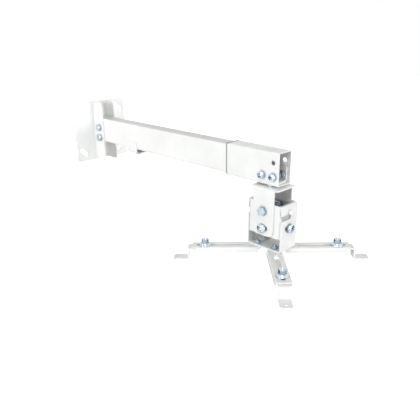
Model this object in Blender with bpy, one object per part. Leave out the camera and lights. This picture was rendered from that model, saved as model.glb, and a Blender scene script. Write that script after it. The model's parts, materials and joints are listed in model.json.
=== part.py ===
"""Wall mount for a projector: a wall bracket, a box-section arm with a sliding end
sleeve, and a universal head with four swinging legs and sliding feet.

Metres, Z up. The origin lies on the wall, on the arm's axis. X runs out from the wall
along the arm, Y to the right when the wall is seen from behind the arm's end.
"""

import math

import bpy
import bmesh
from mathutils import Vector

MM = 0.001

# Clearances
GAP = 0.3 * MM  # between pieces that touch
TUBE_CLEAR = 0.3 * MM  # each side, arm in sleeve and saddle in sleeve
CHEEK_CLEAR = 0.3 * MM  # each side, arm between the bracket's cheeks
HOLE_CLEAR = 0.3 * MM  # round a shank
KNUCKLE_CLEAR = 0.3 * MM  # each side, knuckle in yoke and in cradle
ARM_STOP_GAP = 2 * MM  # arm's end to the saddle when the sleeve is pushed in

# Wall bracket
PLATE_WIDTH = 120 * MM
PLATE_HEIGHT = 118 * MM
PLATE_THICK = 3 * MM
PLATE_DROP = 4 * MM  # plate's centre below the arm's axis
PLATE_CORNER = 6 * MM
WALL_SLOT_SIDE = 44.5 * MM  # slot centre from the plate's centre, sideways
WALL_SLOT_RISE = 41.5 * MM  # slot centre from the plate's centre, up and down
WALL_SLOT_LENGTH = 22.5 * MM
WALL_SLOT_WIDTH = 8.5 * MM
CHEEK_THICK = 2.5 * MM
CHEEK_REACH = 33 * MM
CHEEK_CORNER = 8 * MM
ARM_BOLT_X = 21 * MM
ARM_BOLT_UPPER_Z = 4 * MM
ARM_BOLT_PITCH = 20 * MM

# Arm and sleeve
SLEEVE_WIDTH = 29 * MM
SLEEVE_HEIGHT = 50 * MM
SLEEVE_WALL = 1.5 * MM
SLEEVE_LENGTH = 102 * MM
SLEEVE_PAST_AXIS = 19.5 * MM
SLEEVE_CORNER = 2.5 * MM
ARM_WALL = 1.5 * MM
AXIS_REACH = 449 * MM  # wall to the swivel axis
SPARE_HOLE_X = 9 * MM  # from the swivel axis
SPARE_HOLE_Z = 9.3 * MM
SPARE_HOLE_DIA = 7 * MM

# Cable clip under the arm
CLIP_X = 125 * MM
CLIP_LENGTH = 28 * MM
CLIP_THICK = 1.5 * MM
CLIP_ROOM = 6.5 * MM  # between the arm and the clip's floor
CLIP_GRIP = 14 * MM  # how far its sides reach up the arm
CLIP_BEND = 3 * MM
CLIP_CORNER = 5 * MM

# Saddle inside the sleeve
SADDLE_LENGTH = 30 * MM
SADDLE_HEIGHT = 23 * MM
SADDLE_THICK = 2.5 * MM
SADDLE_BEND = 1.5 * MM
SADDLE_SCREW_X = 10 * MM
SADDLE_SCREW_RISE = 12.2 * MM  # above the saddle's underside

# Yoke
SPACER_THICK = 2.2 * MM
SPACER_DIA = 24 * MM
YOKE_WIDTH = 46 * MM
YOKE_TOP_LENGTH = 50 * MM
YOKE_CHEEK_LENGTH = 38 * MM
YOKE_BELOW_LOCK = 11.5 * MM  # tilt lock screw to the yoke's lower end
YOKE_THICK = 2.5 * MM
YOKE_BEND = 1.5 * MM
YOKE_CORNER = 9 * MM
YOKE_TOP_CORNER = 5 * MM
YOKE_ROOT = 3 * MM  # fillet from the top plate's edge to a cheek
PIVOT_DROP = 35 * MM  # both tilting axes below the yoke's top

# Knuckle
KNUCKLE_WALL = 3 * MM
KNUCKLE_CORNER = 4 * MM
KNUCKLE_ABOVE = 11.5 * MM
KNUCKLE_PAST_YOKE = 0.5 * MM  # its lower end below the yoke's
TILT_LOCK_RADIUS = 27.5 * MM  # pivot to the tilt lock screw
ROLL_LOCK_RISE = 2 * MM  # roll lock above the tilt lock
LOCK_PLAY = 1 * MM  # lock slot wider than its screw
TILT_SWING = 12.0  # degrees each way
ROLL_SWING = 15.0
STUD_PROUD = 6 * MM  # roll stud beyond the cradle's cheek

# Cradle
CRADLE_LENGTH = 64 * MM
CRADLE_WIDTH = 38 * MM
CRADLE_THICK = 2.5 * MM
CRADLE_BEND = 1.5 * MM
CRADLE_ABOVE = 12 * MM
CRADLE_ROOM = 22.5 * MM  # knuckle's lower end to the cradle's underside
CRADLE_CORNER = 3 * MM
HOOK_DROP = 7.5 * MM  # the hook's open slot below the pivot
LEG_PIVOT_SHARE = 0.258  # leg pivot from the cradle's middle, of its length
LEG_PIVOT_SPARE = 1 * MM  # half the room between two legs' round ends

# Legs
LEG_WIDTH = 24 * MM
LEG_DEPTH = 8 * MM
LEG_THICK = 2 * MM
LEG_BEND = 1 * MM
LEG_REACH = 100.5 * MM  # pivot to the free end
LEG_TIP_CORNER = 5 * MM
LEG_SLOT_FROM = 18 * MM
LEG_SLOT_END_WALL = 7 * MM
LEG_ANGLE = 45.0

# Feet
FOOT_FROM_TIP = 19.5 * MM  # foot bolt from the leg's free end
FOOT_WIDTH = 17.5 * MM
FOOT_THICK = 2.5 * MM
FOOT_BEND = 1.5 * MM
FOOT_TAIL = 56 * MM  # reaches inwards under the leg's slot
FOOT_WEB = 27 * MM  # foot bolt to the drop's outer face
FOOT_DROP = 19.7 * MM
FOOT_PAD = 22.5 * MM
FOOT_HOLE_AT = 15 * MM  # pad hole from the drop's outer face
FOOT_HOLE_DIA = 5.5 * MM
FOOT_CORNER = 4 * MM

# Fasteners: shank diameter, width across flats or head diameter, head height
M8 = 8 * MM
M8_FLATS = 13 * MM
M8_HEAD = 5.3 * MM
M8_NUT = 6.5 * MM
M6 = 6 * MM
M6_FLATS = 10 * MM
M6_HEAD = 4 * MM
M6_NUT = 5 * MM
M6_THIN_NUT = 4 * MM
PAN_DIA = 12 * MM
PAN_HEAD = 6 * MM
LOCK_DIA = 14.5 * MM
LOCK_HEAD = 6 * MM
LOCK_BITE = 4 * MM  # lock screw's end past the knuckle's wall
FLANGE_DIA = 18.5 * MM
FLANGE_EDGE = 1.2 * MM
FLANGE_CONE = 1.8 * MM
FLANGE_LIP = 0.1 * MM  # cone's top beyond the hexagon's corners
FLANGE_NUT = 10 * MM
BOLT_SINK = 3 * MM  # foot bolt's end below the flange nut's top
BOLT_PROUD = 1 * MM  # other bolts' ends past their nuts

ROUND = 18  # sides of a fastener
ARC = 5  # steps in a quarter turn

# Sizes that follow from the ones above
ARM_WIDTH = SLEEVE_WIDTH - 2 * SLEEVE_WALL - 2 * TUBE_CLEAR
ARM_HEIGHT = SLEEVE_HEIGHT - 2 * SLEEVE_WALL - 2 * TUBE_CLEAR
ARM_END = AXIS_REACH - SADDLE_LENGTH / 2 - ARM_STOP_GAP
CHEEK_INNER = ARM_WIDTH / 2 + CHEEK_CLEAR
CHEEK_OUTER = CHEEK_INNER + CHEEK_THICK
SADDLE_WIDTH = SLEEVE_WIDTH - 2 * SLEEVE_WALL - 2 * TUBE_CLEAR
SADDLE_BOTTOM = -SLEEVE_HEIGHT / 2 + SLEEVE_WALL + TUBE_CLEAR
YOKE_TOP = -SLEEVE_HEIGHT / 2 - SPACER_THICK - 2 * GAP
YOKE_INNER = YOKE_WIDTH / 2 - YOKE_THICK
YOKE_HEIGHT = PIVOT_DROP + TILT_LOCK_RADIUS + YOKE_BELOW_LOCK
ROLL_LOCK_RADIUS = TILT_LOCK_RADIUS - ROLL_LOCK_RISE
KNUCKLE_BELOW = TILT_LOCK_RADIUS + YOKE_BELOW_LOCK + KNUCKLE_PAST_YOKE
CRADLE_BELOW = KNUCKLE_BELOW + CRADLE_ROOM
CRADLE_INNER = CRADLE_LENGTH / 2 - CRADLE_THICK
KNUCKLE_X = CRADLE_INNER - KNUCKLE_CLEAR
KNUCKLE_Y = YOKE_INNER - KNUCKLE_CLEAR
LEG_TOP = -CRADLE_BELOW - GAP
LEG_PIVOT_X = LEG_PIVOT_SHARE * CRADLE_LENGTH
LEG_PIVOT_Y = LEG_WIDTH / 2 + LEG_PIVOT_SPARE
FOOT_AT = LEG_REACH - FOOT_FROM_TIP
LEG_SLOT_WIDTH = M6 + 2 * HOLE_CLEAR
LOCK_SLOT_WIDTH = M6 + LOCK_PLAY

STEEL = {}


def clear_scene():
    """Remove every object of the scene."""
    for item in list(bpy.data.objects):
        bpy.data.objects.remove(item, do_unlink=True)


def finish(name, colour, roughness, metallic):
    """Make one Principled material."""
    material = bpy.data.materials.new(name)
    material.use_nodes = True
    shader = material.node_tree.nodes["Principled BSDF"]
    shader.inputs["Base Color"].default_value = (*colour, 1.0)
    shader.inputs["Roughness"].default_value = roughness
    shader.inputs["Metallic"].default_value = metallic
    material.diffuse_color = (*colour, 1.0)
    return material


# Outlines


def arc(centre, radius, start, sweep, steps):
    """Points of an arc; angles in radians."""
    return [(centre[0] + radius * math.cos(start + sweep * i / steps),
             centre[1] + radius * math.sin(start + sweep * i / steps))
            for i in range(steps + 1)]


def circle(centre, radius, sides=ROUND):
    """Points of a full circle."""
    return arc(centre, radius, 0.0, math.tau * (1 - 1 / sides), sides - 1)


def hexagon(flats):
    """Points of a hexagon of a given width across flats."""
    return circle((0, 0), flats / math.sqrt(3), 6)


def rounded(corners, radii):
    """Round a polygon's corners, each by its own radius, going anticlockwise."""
    points = []
    count = len(corners)
    for i, corner in enumerate(corners):
        here = Vector(corner)
        back = (Vector(corners[i - 1]) - here).normalized()
        ahead = (Vector(corners[(i + 1) % count]) - here).normalized()
        radius = radii[i]
        if radius <= 0:
            points.append(tuple(here))
            continue
        half = back.angle(ahead) / 2
        reach = radius / math.tan(half)
        centre = here + (back + ahead).normalized() * (radius / math.sin(half))
        first = here + back * reach - centre
        last = here + ahead * reach - centre
        start = math.atan2(first.y, first.x)
        sweep = math.atan2(last.y, last.x) - start
        sweep = (sweep + math.pi) % math.tau - math.pi
        points += arc(centre, radius, start, sweep, ARC)
    return points


def rectangle(low, high, radius=0.0):
    """A rectangle from its low to its high corner."""
    corners = [low, (high[0], low[1]), high, (low[0], high[1])]
    return rounded(corners, [radius] * 4)


def slot(centre, length, width, angle=0.0):
    """A straight slot with round ends; length is from end to end."""
    run = (length - width) / 2
    along = Vector((math.cos(angle), math.sin(angle)))
    points = []
    for side in (1, -1):
        end = Vector(centre) + along * run * side
        start = angle - math.pi / 2 if side > 0 else angle + math.pi / 2
        points += arc(end, width / 2, start, math.pi, 2 * ARC)
    return points


def arc_slot(radius, swing, width):
    """A slot that follows an arc below the origin, with round ends."""
    half = math.radians(swing)
    down = -math.pi / 2
    outer = arc((0, 0), radius + width / 2, down - half, 2 * half, 2 * ARC)
    inner = arc((0, 0), radius - width / 2, down + half, -2 * half, 2 * ARC)
    right = (radius * math.cos(down + half), radius * math.sin(down + half))
    left = (radius * math.cos(down - half), radius * math.sin(down - half))
    cap_right = arc(right, width / 2, down + half, math.pi, 2 * ARC)[1:-1]
    cap_left = arc(left, width / 2, down - half + math.pi, math.pi, 2 * ARC)[1:-1]
    return outer + cap_right + inner + cap_left


def bent_strip(path, thick, bend):
    """Outline of a sheet of even thickness that follows a path with rounded bends."""
    left, right = [], []
    middle = bend + thick / 2
    for i, point in enumerate(path):
        here = Vector(point)
        before = (here - Vector(path[i - 1])).normalized() if i else None
        after = (Vector(path[i + 1]) - here).normalized() if i + 1 < len(path) else None
        if before is None or after is None:
            along = after if before is None else before
            side = Vector((-along.y, along.x)) * (thick / 2)
            left.append(tuple(here + side))
            right.append(tuple(here - side))
            continue
        turn = before.angle_signed(after) * -1
        reach = middle * math.tan(abs(turn) / 2)
        sign = 1 if turn > 0 else -1
        inward = Vector((-before.y, before.x)) * sign
        centre = here - before * reach + inward * middle
        start = math.atan2(-inward.y, -inward.x)
        near = arc(centre, bend, start, turn, ARC)
        far = arc(centre, bend + thick, start, turn, ARC)
        left += near if sign > 0 else far
        right += far if sign > 0 else near
    return left + right[::-1]


# Solids

PLANES = {
    "XY": lambda u, v, w: (u, v, w),
    "XZ": lambda u, v, w: (u, w, v),
    "YZ": lambda u, v, w: (w, u, v),
}


def ring(mesh, points):
    """Add a closed loop of vertices and edges."""
    verts = [mesh.verts.new(point) for point in points]
    for i, vert in enumerate(verts):
        mesh.edges.new((verts[i - 1], vert))
    return verts


def skin(mesh, rings, closed=False):
    """Join rings by faces, through a flat fill where two rings differ in count."""
    loops = [ring(mesh, points) for points in rings]
    pairs = list(zip(loops, loops[1:]))
    if closed:
        pairs.append((loops[-1], loops[0]))
    for low, high in pairs:
        count = len(low)
        if count == len(high):
            for i in range(count):
                mesh.faces.new((low[i - 1], low[i], high[i], high[i - 1]))
            continue
        edges = [mesh.edges.get((loop[i - 1], loop[i]))
                 for loop in (low, high) for i in range(len(loop))]
        bmesh.ops.triangle_fill(mesh, edges=edges, use_beauty=True)
    if not closed:
        mesh.faces.new(loops[0])
        mesh.faces.new(loops[-1])


def prism(mesh, outline, plane, low, high):
    """Add an outline extruded from low to high across its plane."""
    spot = PLANES[plane]
    skin(mesh, [[spot(u, v, level) for u, v in outline] for level in (low, high)])


def tube(mesh, outer, inner, plane, low, high):
    """Add a tube between two outlines with the same number of points."""
    spot = PLANES[plane]
    levels = ((outer, low), (outer, high), (inner, high), (inner, low))
    skin(mesh, [[spot(u, v, w) for u, v in line] for line, w in levels], closed=True)


def body(name, mesh, material, smooth=False):
    """Turn a bmesh into an object with its faces pointing out."""
    bmesh.ops.recalc_face_normals(mesh, faces=mesh.faces[:])
    data = bpy.data.meshes.new(name)
    mesh.to_mesh(data)
    mesh.free()
    if smooth:
        data.shade_smooth()
        data.set_sharp_from_angle(angle=math.radians(35))
    item = bpy.data.objects.new(name, data)
    if material:
        data.materials.append(material)
    bpy.context.scene.collection.objects.link(item)
    return item


def prisms(name, parts, material=None):
    """One object from a list of outlines with their plane and two levels."""
    mesh = bmesh.new()
    for part in parts:
        prism(mesh, *part)
    return body(name, mesh, material)


def cut(item, parts, operation="DIFFERENCE"):
    """Cut, join or trim an object by prisms, and keep the result as its mesh."""
    tool = prisms(item.name + "_tool", parts)
    tool.hide_render = True
    tool.display_type = "WIRE"
    modifier = item.modifiers.new("cut", "BOOLEAN")
    modifier.operation = operation
    modifier.solver = "EXACT"
    modifier.object = tool
    graph = bpy.context.evaluated_depsgraph_get()
    result = bpy.data.meshes.new_from_object(item.evaluated_get(graph))
    item.modifiers.clear()
    item.data = result
    bpy.data.objects.remove(tool, do_unlink=True)
    return item


def place(item, parent, spot=(0, 0, 0), turn=(0, 0, 0)):
    """Put an object in its parent's frame."""
    item.parent = parent
    item.location = spot
    item.rotation_euler = turn
    return item


def joint(name, parent, spot=(0, 0, 0), angle=0.0):
    """An empty on a joint's axis, carrying what moves with it."""
    item = bpy.data.objects.new(name, None)
    item.empty_display_size = 0.02
    bpy.context.scene.collection.objects.link(item)
    return place(item, parent, spot, (0, 0, math.radians(angle)))


# Fasteners, each with its seat at z = 0 and its head or top towards +Z

TOWARDS = {
    "-y": (math.pi / 2, 0, 0),
    "+y": (-math.pi / 2, 0, 0),
    "+x": (0, math.pi / 2, 0),
    "-x": (0, -math.pi / 2, 0),
    "+z": (0, 0, 0),
    "-z": (math.pi, 0, 0),
}


def turned(name, sections, closed=False, steel="zinc"):
    """A fastener from its sections: outline points and their height."""
    mesh = bmesh.new()
    skin(mesh, [[(x, y, z) for x, y in line] for line, z in sections], closed)
    return body(name, mesh, STEEL[steel], smooth=True)


def hex_bolt(name, shank, flats, head, length):
    """A hexagon bolt."""
    round_shank = circle((0, 0), shank / 2)
    return turned(name, [(round_shank, -length), (round_shank, 0),
                         (hexagon(flats), 0), (hexagon(flats), head)])


def stud(name, shank, proud, length):
    """A plain round stud with a domed end."""
    sections = [(circle((0, 0), shank / 2), -length)]
    for share, back in ((1.0, 0.2), (0.8, 0.07), (0.45, 0.0)):
        sections.append((circle((0, 0), shank / 2 * share), proud - shank * back))
    return turned(name, sections, steel="white")


def hex_nut(name, shank, flats, height):
    """A hexagon nut with its bore."""
    bore = circle((0, 0), shank / 2 + HOLE_CLEAR)
    return turned(name, [(hexagon(flats), 0), (hexagon(flats), height),
                         (bore, height), (bore, 0)], closed=True)


def pan_screw(name, shank, dia, head, length):
    """A screw with a domed pan head."""
    round_shank = circle((0, 0), shank / 2)
    sections = [(round_shank, -length), (round_shank, 0)]
    for share, rise in ((1.0, 0.0), (1.0, 0.45), (0.92, 0.75), (0.7, 0.95), (0.4, 1.0)):
        sections.append((circle((0, 0), dia / 2 * share), head * rise))
    return turned(name, sections)


def flange_nut(name):
    """A hexagon nut on a round cone-edged flange."""
    bore = circle((0, 0), M6 / 2 + HOLE_CLEAR)
    crown = M6_FLATS / math.sqrt(3) + FLANGE_LIP
    shoulder = FLANGE_EDGE + FLANGE_CONE
    return turned(name, [(circle((0, 0), FLANGE_DIA / 2), 0),
                         (circle((0, 0), FLANGE_DIA / 2), FLANGE_EDGE),
                         (circle((0, 0), crown), shoulder),
                         (hexagon(M6_FLATS), shoulder),
                         (hexagon(M6_FLATS), FLANGE_NUT),
                         (bore, FLANGE_NUT), (bore, 0)], closed=True)


# Wall bracket and arm


def wall_slots():
    """The four slanted slots for the wall screws."""
    slots = []
    for side in (-1, 1):
        for level in (-1, 1):
            centre = (side * WALL_SLOT_SIDE, level * WALL_SLOT_RISE - PLATE_DROP)
            angle = math.pi / 4 * (-1 if side * level > 0 else 1)
            outline = slot(centre, WALL_SLOT_LENGTH, WALL_SLOT_WIDTH, angle)
            slots.append((outline, "YZ", -PLATE_THICK, 2 * PLATE_THICK))
    return slots


def wall_plate(root):
    """Back plate with the two cheeks that hold the arm."""
    top = PLATE_HEIGHT / 2 - PLATE_DROP
    bottom = -PLATE_HEIGHT / 2 - PLATE_DROP
    outline = rectangle((-PLATE_WIDTH / 2, bottom), (PLATE_WIDTH / 2, top), PLATE_CORNER)
    item = prisms("wall_plate", [(outline, "YZ", 0, PLATE_THICK)], STEEL["white"])
    cheek = rounded([(PLATE_THICK / 2, bottom), (CHEEK_REACH, bottom),
                     (CHEEK_REACH, top), (PLATE_THICK / 2, top)],
                    [0, CHEEK_CORNER, CHEEK_CORNER, 0])
    cut(item, [(cheek, "XZ", CHEEK_INNER, CHEEK_OUTER),
               (cheek, "XZ", -CHEEK_OUTER, -CHEEK_INNER)], "UNION")
    cut(item, wall_slots() + arm_bolt_holes(CHEEK_OUTER))
    place(item, root)


def arm_bolt_levels():
    """Heights of the two bolts through bracket and arm."""
    return (ARM_BOLT_UPPER_Z, ARM_BOLT_UPPER_Z - ARM_BOLT_PITCH)


def arm_bolt_holes(half):
    """Cutters along Y for the two arm bolts."""
    return [(circle((ARM_BOLT_X, level), M8 / 2 + HOLE_CLEAR), "XZ", -2 * half, 2 * half)
            for level in arm_bolt_levels()]


def arm_bolts(root):
    """The two bolts and nuts that hold the arm in the bracket."""
    length = 2 * CHEEK_OUTER + 2 * GAP + GAP + M8_NUT + BOLT_PROUD
    for label, level in zip(("upper", "lower"), arm_bolt_levels()):
        bolt = hex_bolt("arm_bolt_" + label, M8, M8_FLATS, M8_HEAD, length)
        place(bolt, root, (ARM_BOLT_X, -CHEEK_OUTER - GAP, level), TOWARDS["-y"])
        nut = hex_nut("arm_nut_" + label, M8, M8_FLATS, M8_NUT)
        place(nut, root, (ARM_BOLT_X, CHEEK_OUTER + GAP, level), TOWARDS["+y"])


def box_tube(name, width, height, wall, corner, low, high):
    """A rectangular tube along X."""
    outer = rectangle((-width / 2, -height / 2), (width / 2, height / 2), corner)
    inner = rectangle((-width / 2 + wall, -height / 2 + wall),
                      (width / 2 - wall, height / 2 - wall), corner - wall)
    mesh = bmesh.new()
    tube(mesh, outer, inner, "YZ", low, high)
    return body(name, mesh, STEEL["white"])


def arm_tube(root):
    """The long arm, bolted between the cheeks."""
    item = box_tube("arm_tube", ARM_WIDTH, ARM_HEIGHT, ARM_WALL, SLEEVE_CORNER,
                    PLATE_THICK + GAP, ARM_END)
    clip_hole = circle((CLIP_X, 0), M6 / 2 + HOLE_CLEAR)
    cut(item, arm_bolt_holes(ARM_WIDTH) + [
        (clip_hole, "XY", -ARM_HEIGHT, -ARM_HEIGHT / 2 + 2 * ARM_WALL)])
    place(item, root)


def cable_clip(root):
    """Strap under the arm that leaves room for a cable, with its screw."""
    side = ARM_WIDTH / 2 + GAP + CLIP_THICK / 2
    floor = -ARM_HEIGHT / 2 - CLIP_ROOM - CLIP_THICK / 2
    top = -ARM_HEIGHT / 2 + CLIP_GRIP
    path = [(-side, top), (-side, floor), (side, floor), (side, top)]
    low, high = -CLIP_LENGTH / 2, CLIP_LENGTH / 2
    item = prisms("cable_clip", [(bent_strip(path, CLIP_THICK, CLIP_BEND), "YZ", low, high)],
                  STEEL["white"])
    outline = rounded([(low, floor * 2), (high, floor * 2), (high, top), (low, top)],
                      [0, 0, CLIP_CORNER, CLIP_CORNER])
    cut(item, [(outline, "XZ", -2 * side, 2 * side)], "INTERSECT")
    hole = circle((0, 0), M6 / 2 + HOLE_CLEAR)
    cut(item, [(hole, "XY", floor - CLIP_THICK, floor + CLIP_THICK)])
    place(item, root, (CLIP_X, 0, 0))
    seat = floor - CLIP_THICK / 2 - GAP
    length = -ARM_HEIGHT / 2 + ARM_WALL + 2 * BOLT_PROUD - seat
    screw = hex_bolt("clip_screw", M6, M6_FLATS, M6_HEAD, length)
    place(screw, root, (CLIP_X, 0, seat), TOWARDS["-z"])


# Sleeve with its saddle


def saddle_screw_level():
    """Height of the saddle screws."""
    return SADDLE_BOTTOM + SADDLE_SCREW_RISE


def saddle_screw_holes(half):
    """Cutters along Y for the saddle screws."""
    return [(circle((x, saddle_screw_level()), M6 / 2 + HOLE_CLEAR), "XZ", -half, half)
            for x in (-SADDLE_SCREW_X, SADDLE_SCREW_X)]


def sleeve(slide):
    """Outer tube at the arm's end."""
    high = SLEEVE_PAST_AXIS
    item = box_tube("sleeve", SLEEVE_WIDTH, SLEEVE_HEIGHT, SLEEVE_WALL, SLEEVE_CORNER,
                    high - SLEEVE_LENGTH, high)
    spare = circle((SPARE_HOLE_X, SPARE_HOLE_Z), SPARE_HOLE_DIA / 2)
    swivel = circle((0, 0), M8 / 2 + HOLE_CLEAR)
    cut(item, saddle_screw_holes(SLEEVE_WIDTH)
        + [(spare, "XZ", -SLEEVE_WIDTH, SLEEVE_WIDTH),
           (swivel, "XY", -SLEEVE_HEIGHT, -SLEEVE_HEIGHT / 2 + 2 * SLEEVE_WALL)])
    place(item, slide)


def saddle(slide):
    """Bent sheet in the sleeve's floor that carries the swivel bolt."""
    side = SADDLE_WIDTH / 2 - SADDLE_THICK / 2
    floor = SADDLE_BOTTOM + SADDLE_THICK / 2
    top = SADDLE_BOTTOM + SADDLE_HEIGHT
    path = [(-side, top), (-side, floor), (side, floor), (side, top)]
    low, high = -SADDLE_LENGTH / 2, SADDLE_LENGTH / 2
    item = prisms("saddle", [(bent_strip(path, SADDLE_THICK, SADDLE_BEND), "YZ", low, high)],
                  STEEL["white"])
    swivel = circle((0, 0), M8 / 2 + HOLE_CLEAR)
    cut(item, saddle_screw_holes(SLEEVE_WIDTH)
        + [(swivel, "XY", SADDLE_BOTTOM - SADDLE_THICK, SADDLE_BOTTOM + 2 * SADDLE_THICK)])
    place(item, slide)


def saddle_screws(slide):
    """Screws through the sleeve's sides, with thin nuts inside the saddle."""
    seat = SLEEVE_WIDTH / 2 + GAP
    inside = SADDLE_WIDTH / 2 - SADDLE_THICK - GAP
    length = seat - inside + M6_THIN_NUT + BOLT_PROUD / 2
    level = saddle_screw_level()
    for side, out, back in ((-1, "-y", "+y"), (1, "+y", "-y")):
        for end, x in (("in", -SADDLE_SCREW_X), ("out", SADDLE_SCREW_X)):
            label = ("left_" if side < 0 else "right_") + end
            screw = pan_screw("saddle_screw_" + label, M6, PAN_DIA, PAN_HEAD, length)
            place(screw, slide, (x, side * seat, level), TOWARDS[out])
            nut = hex_nut("saddle_nut_" + label, M6, M6_FLATS, M6_THIN_NUT)
            place(nut, slide, (x, side * inside, level), TOWARDS[back])


def swivel_bolt(slide):
    """Upright bolt, washer and nut that the head turns on."""
    seat = SADDLE_BOTTOM + SADDLE_THICK + GAP
    nut_seat = YOKE_TOP - YOKE_THICK - GAP
    length = seat - nut_seat + M8_NUT + BOLT_PROUD
    bolt = hex_bolt("swivel_bolt", M8, M8_FLATS, M8_HEAD, length)
    place(bolt, slide, (0, 0, seat), TOWARDS["+z"])
    nut = hex_nut("swivel_nut", M8, M8_FLATS, M8_NUT)
    place(nut, slide, (0, 0, nut_seat), TOWARDS["-z"])
    bore = circle((0, 0), M8 / 2 + HOLE_CLEAR)
    rim = circle((0, 0), SPACER_DIA / 2)
    washer = turned("swivel_washer", [(rim, 0), (rim, SPACER_THICK),
                                      (bore, SPACER_THICK), (bore, 0)], closed=True)
    place(washer, slide, (0, 0, YOKE_TOP + GAP))


# Head


def yoke(swivel):
    """Downward U whose top plate is longer than its cheeks."""
    side = YOKE_WIDTH / 2 - YOKE_THICK / 2
    path = [(side, -YOKE_HEIGHT), (side, -YOKE_THICK / 2),
            (-side, -YOKE_THICK / 2), (-side, -YOKE_HEIGHT)]
    half = YOKE_TOP_LENGTH / 2
    item = prisms("yoke", [(bent_strip(path, YOKE_THICK, YOKE_BEND), "YZ", -half, half)],
                  STEEL["white"])
    cheek = YOKE_CHEEK_LENGTH / 2
    outline = rounded([(cheek, -YOKE_HEIGHT), (cheek, -YOKE_THICK),
                       (half, -YOKE_THICK), (half, YOKE_THICK),
                       (-half, YOKE_THICK), (-half, -YOKE_THICK),
                       (-cheek, -YOKE_THICK), (-cheek, -YOKE_HEIGHT)],
                      [YOKE_CORNER, YOKE_ROOT, 0, 0, 0, 0, YOKE_ROOT, YOKE_CORNER])
    cut(item, [(outline, "XZ", -YOKE_WIDTH, YOKE_WIDTH)], "INTERSECT")
    plan = rectangle((-half, -YOKE_WIDTH / 2), (half, YOKE_WIDTH / 2), YOKE_TOP_CORNER)
    cut(item, [(plan, "XY", -2 * YOKE_HEIGHT, YOKE_HEIGHT)], "INTERSECT")
    hole = circle((0, 0), M8 / 2 + HOLE_CLEAR)
    pivot = circle((0, -PIVOT_DROP), M8 / 2 + HOLE_CLEAR)
    lock = [(x, z - PIVOT_DROP)
            for x, z in arc_slot(TILT_LOCK_RADIUS, TILT_SWING, LOCK_SLOT_WIDTH)]
    cut(item, [(hole, "XY", -2 * YOKE_THICK, YOKE_THICK),
               (pivot, "XZ", -YOKE_WIDTH, YOKE_WIDTH),
               (lock, "XZ", -YOKE_WIDTH, YOKE_WIDTH)])
    place(item, swivel)


def knuckle(tilt):
    """Short upright box tube between yoke and cradle."""
    outer = rectangle((-KNUCKLE_X, -KNUCKLE_Y), (KNUCKLE_X, KNUCKLE_Y), KNUCKLE_CORNER)
    x, y = KNUCKLE_X - KNUCKLE_WALL, KNUCKLE_Y - KNUCKLE_WALL
    inner = rectangle((-x, -y), (x, y), KNUCKLE_CORNER - KNUCKLE_WALL)
    mesh = bmesh.new()
    tube(mesh, outer, inner, "XY", -KNUCKLE_BELOW, KNUCKLE_ABOVE)
    item = body("knuckle", mesh, STEEL["white"])
    pivot = circle((0, 0), M8 / 2 + HOLE_CLEAR)
    tilt_lock = circle((0, -TILT_LOCK_RADIUS), M6 / 2 + HOLE_CLEAR)
    roll_lock = circle((0, -ROLL_LOCK_RADIUS), M6 / 2 + HOLE_CLEAR)
    cut(item, [(pivot, "XZ", -2 * KNUCKLE_Y, 2 * KNUCKLE_Y),
               (tilt_lock, "XZ", -2 * KNUCKLE_Y, 2 * KNUCKLE_Y)])
    cut(item, [(pivot, "YZ", -2 * KNUCKLE_X, 2 * KNUCKLE_X),
               (roll_lock, "YZ", -2 * KNUCKLE_X, 2 * KNUCKLE_X)])
    place(item, tilt)


def pivot_pin(kind, label, behind):
    """Bolt of the tilting pivot, or plain stud of the rolling one, out from its cheek."""
    length = behind + M8_NUT + BOLT_PROUD
    if kind == "roll":
        return stud(f"roll_bolt_{label}", M8, STUD_PROUD, length)
    return hex_bolt(f"tilt_bolt_{label}", M8, M8_FLATS, M8_HEAD, length)


def knuckle_bolts(tilt):
    """Pivot bolts and studs with nuts inside the knuckle, and the lock screws."""
    sets = (("tilt", 1, YOKE_WIDTH / 2, KNUCKLE_Y, TILT_LOCK_RADIUS),
            ("roll", 0, CRADLE_LENGTH / 2, KNUCKLE_X, ROLL_LOCK_RADIUS))
    for kind, axis, face, wall_face, radius in sets:
        seat = face + GAP
        inside = wall_face - KNUCKLE_WALL - GAP
        names = (("left", "right"), ("in", "out"))[axis == 0]
        for side, label in zip((-1, 1), names):
            out = ("-" if side < 0 else "+") + "xy"[axis]
            back = ("+" if side < 0 else "-") + "xy"[axis]
            spot = [0, 0, 0]
            spot[axis] = side * seat
            place(pivot_pin(kind, label, seat - inside), tilt, spot, TOWARDS[out])
            screw = pan_screw(f"{kind}_lock_{label}", M6, LOCK_DIA, LOCK_HEAD,
                              seat - inside + LOCK_BITE)
            place(screw, tilt, (spot[0], spot[1], -radius), TOWARDS[out])
            spot[axis] = side * inside
            nut = hex_nut(f"{kind}_nut_{label}", M8, M8_FLATS, M8_NUT)
            place(nut, tilt, spot, TOWARDS[back])


def hook_outline():
    """Slot that runs in from the cheek's edge and up to its seat on the pivot."""
    width = M8 + 2 * HOLE_CLEAR
    half = width / 2
    edge = -CRADLE_WIDTH
    corners = [(edge, -HOOK_DROP - half), (half, -HOOK_DROP - half), (half, half),
               (-half, half), (-half, -HOOK_DROP + half), (edge, -HOOK_DROP + half)]
    reach = half * 0.98
    return rounded(corners, [0, reach, reach, reach, 0, 0])


def leg_spots():
    """Label, pivot place and direction of each leg."""
    spots = []
    for sx, end in ((-1, "in"), (1, "out")):
        for sy, side in ((-1, "left"), (1, "right")):
            angle = LEG_ANGLE if sx * sy > 0 else -LEG_ANGLE
            spots.append((end + "_" + side, sx * LEG_PIVOT_X, sy * LEG_PIVOT_Y,
                          angle if sx > 0 else angle + 180))
    return spots


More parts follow.
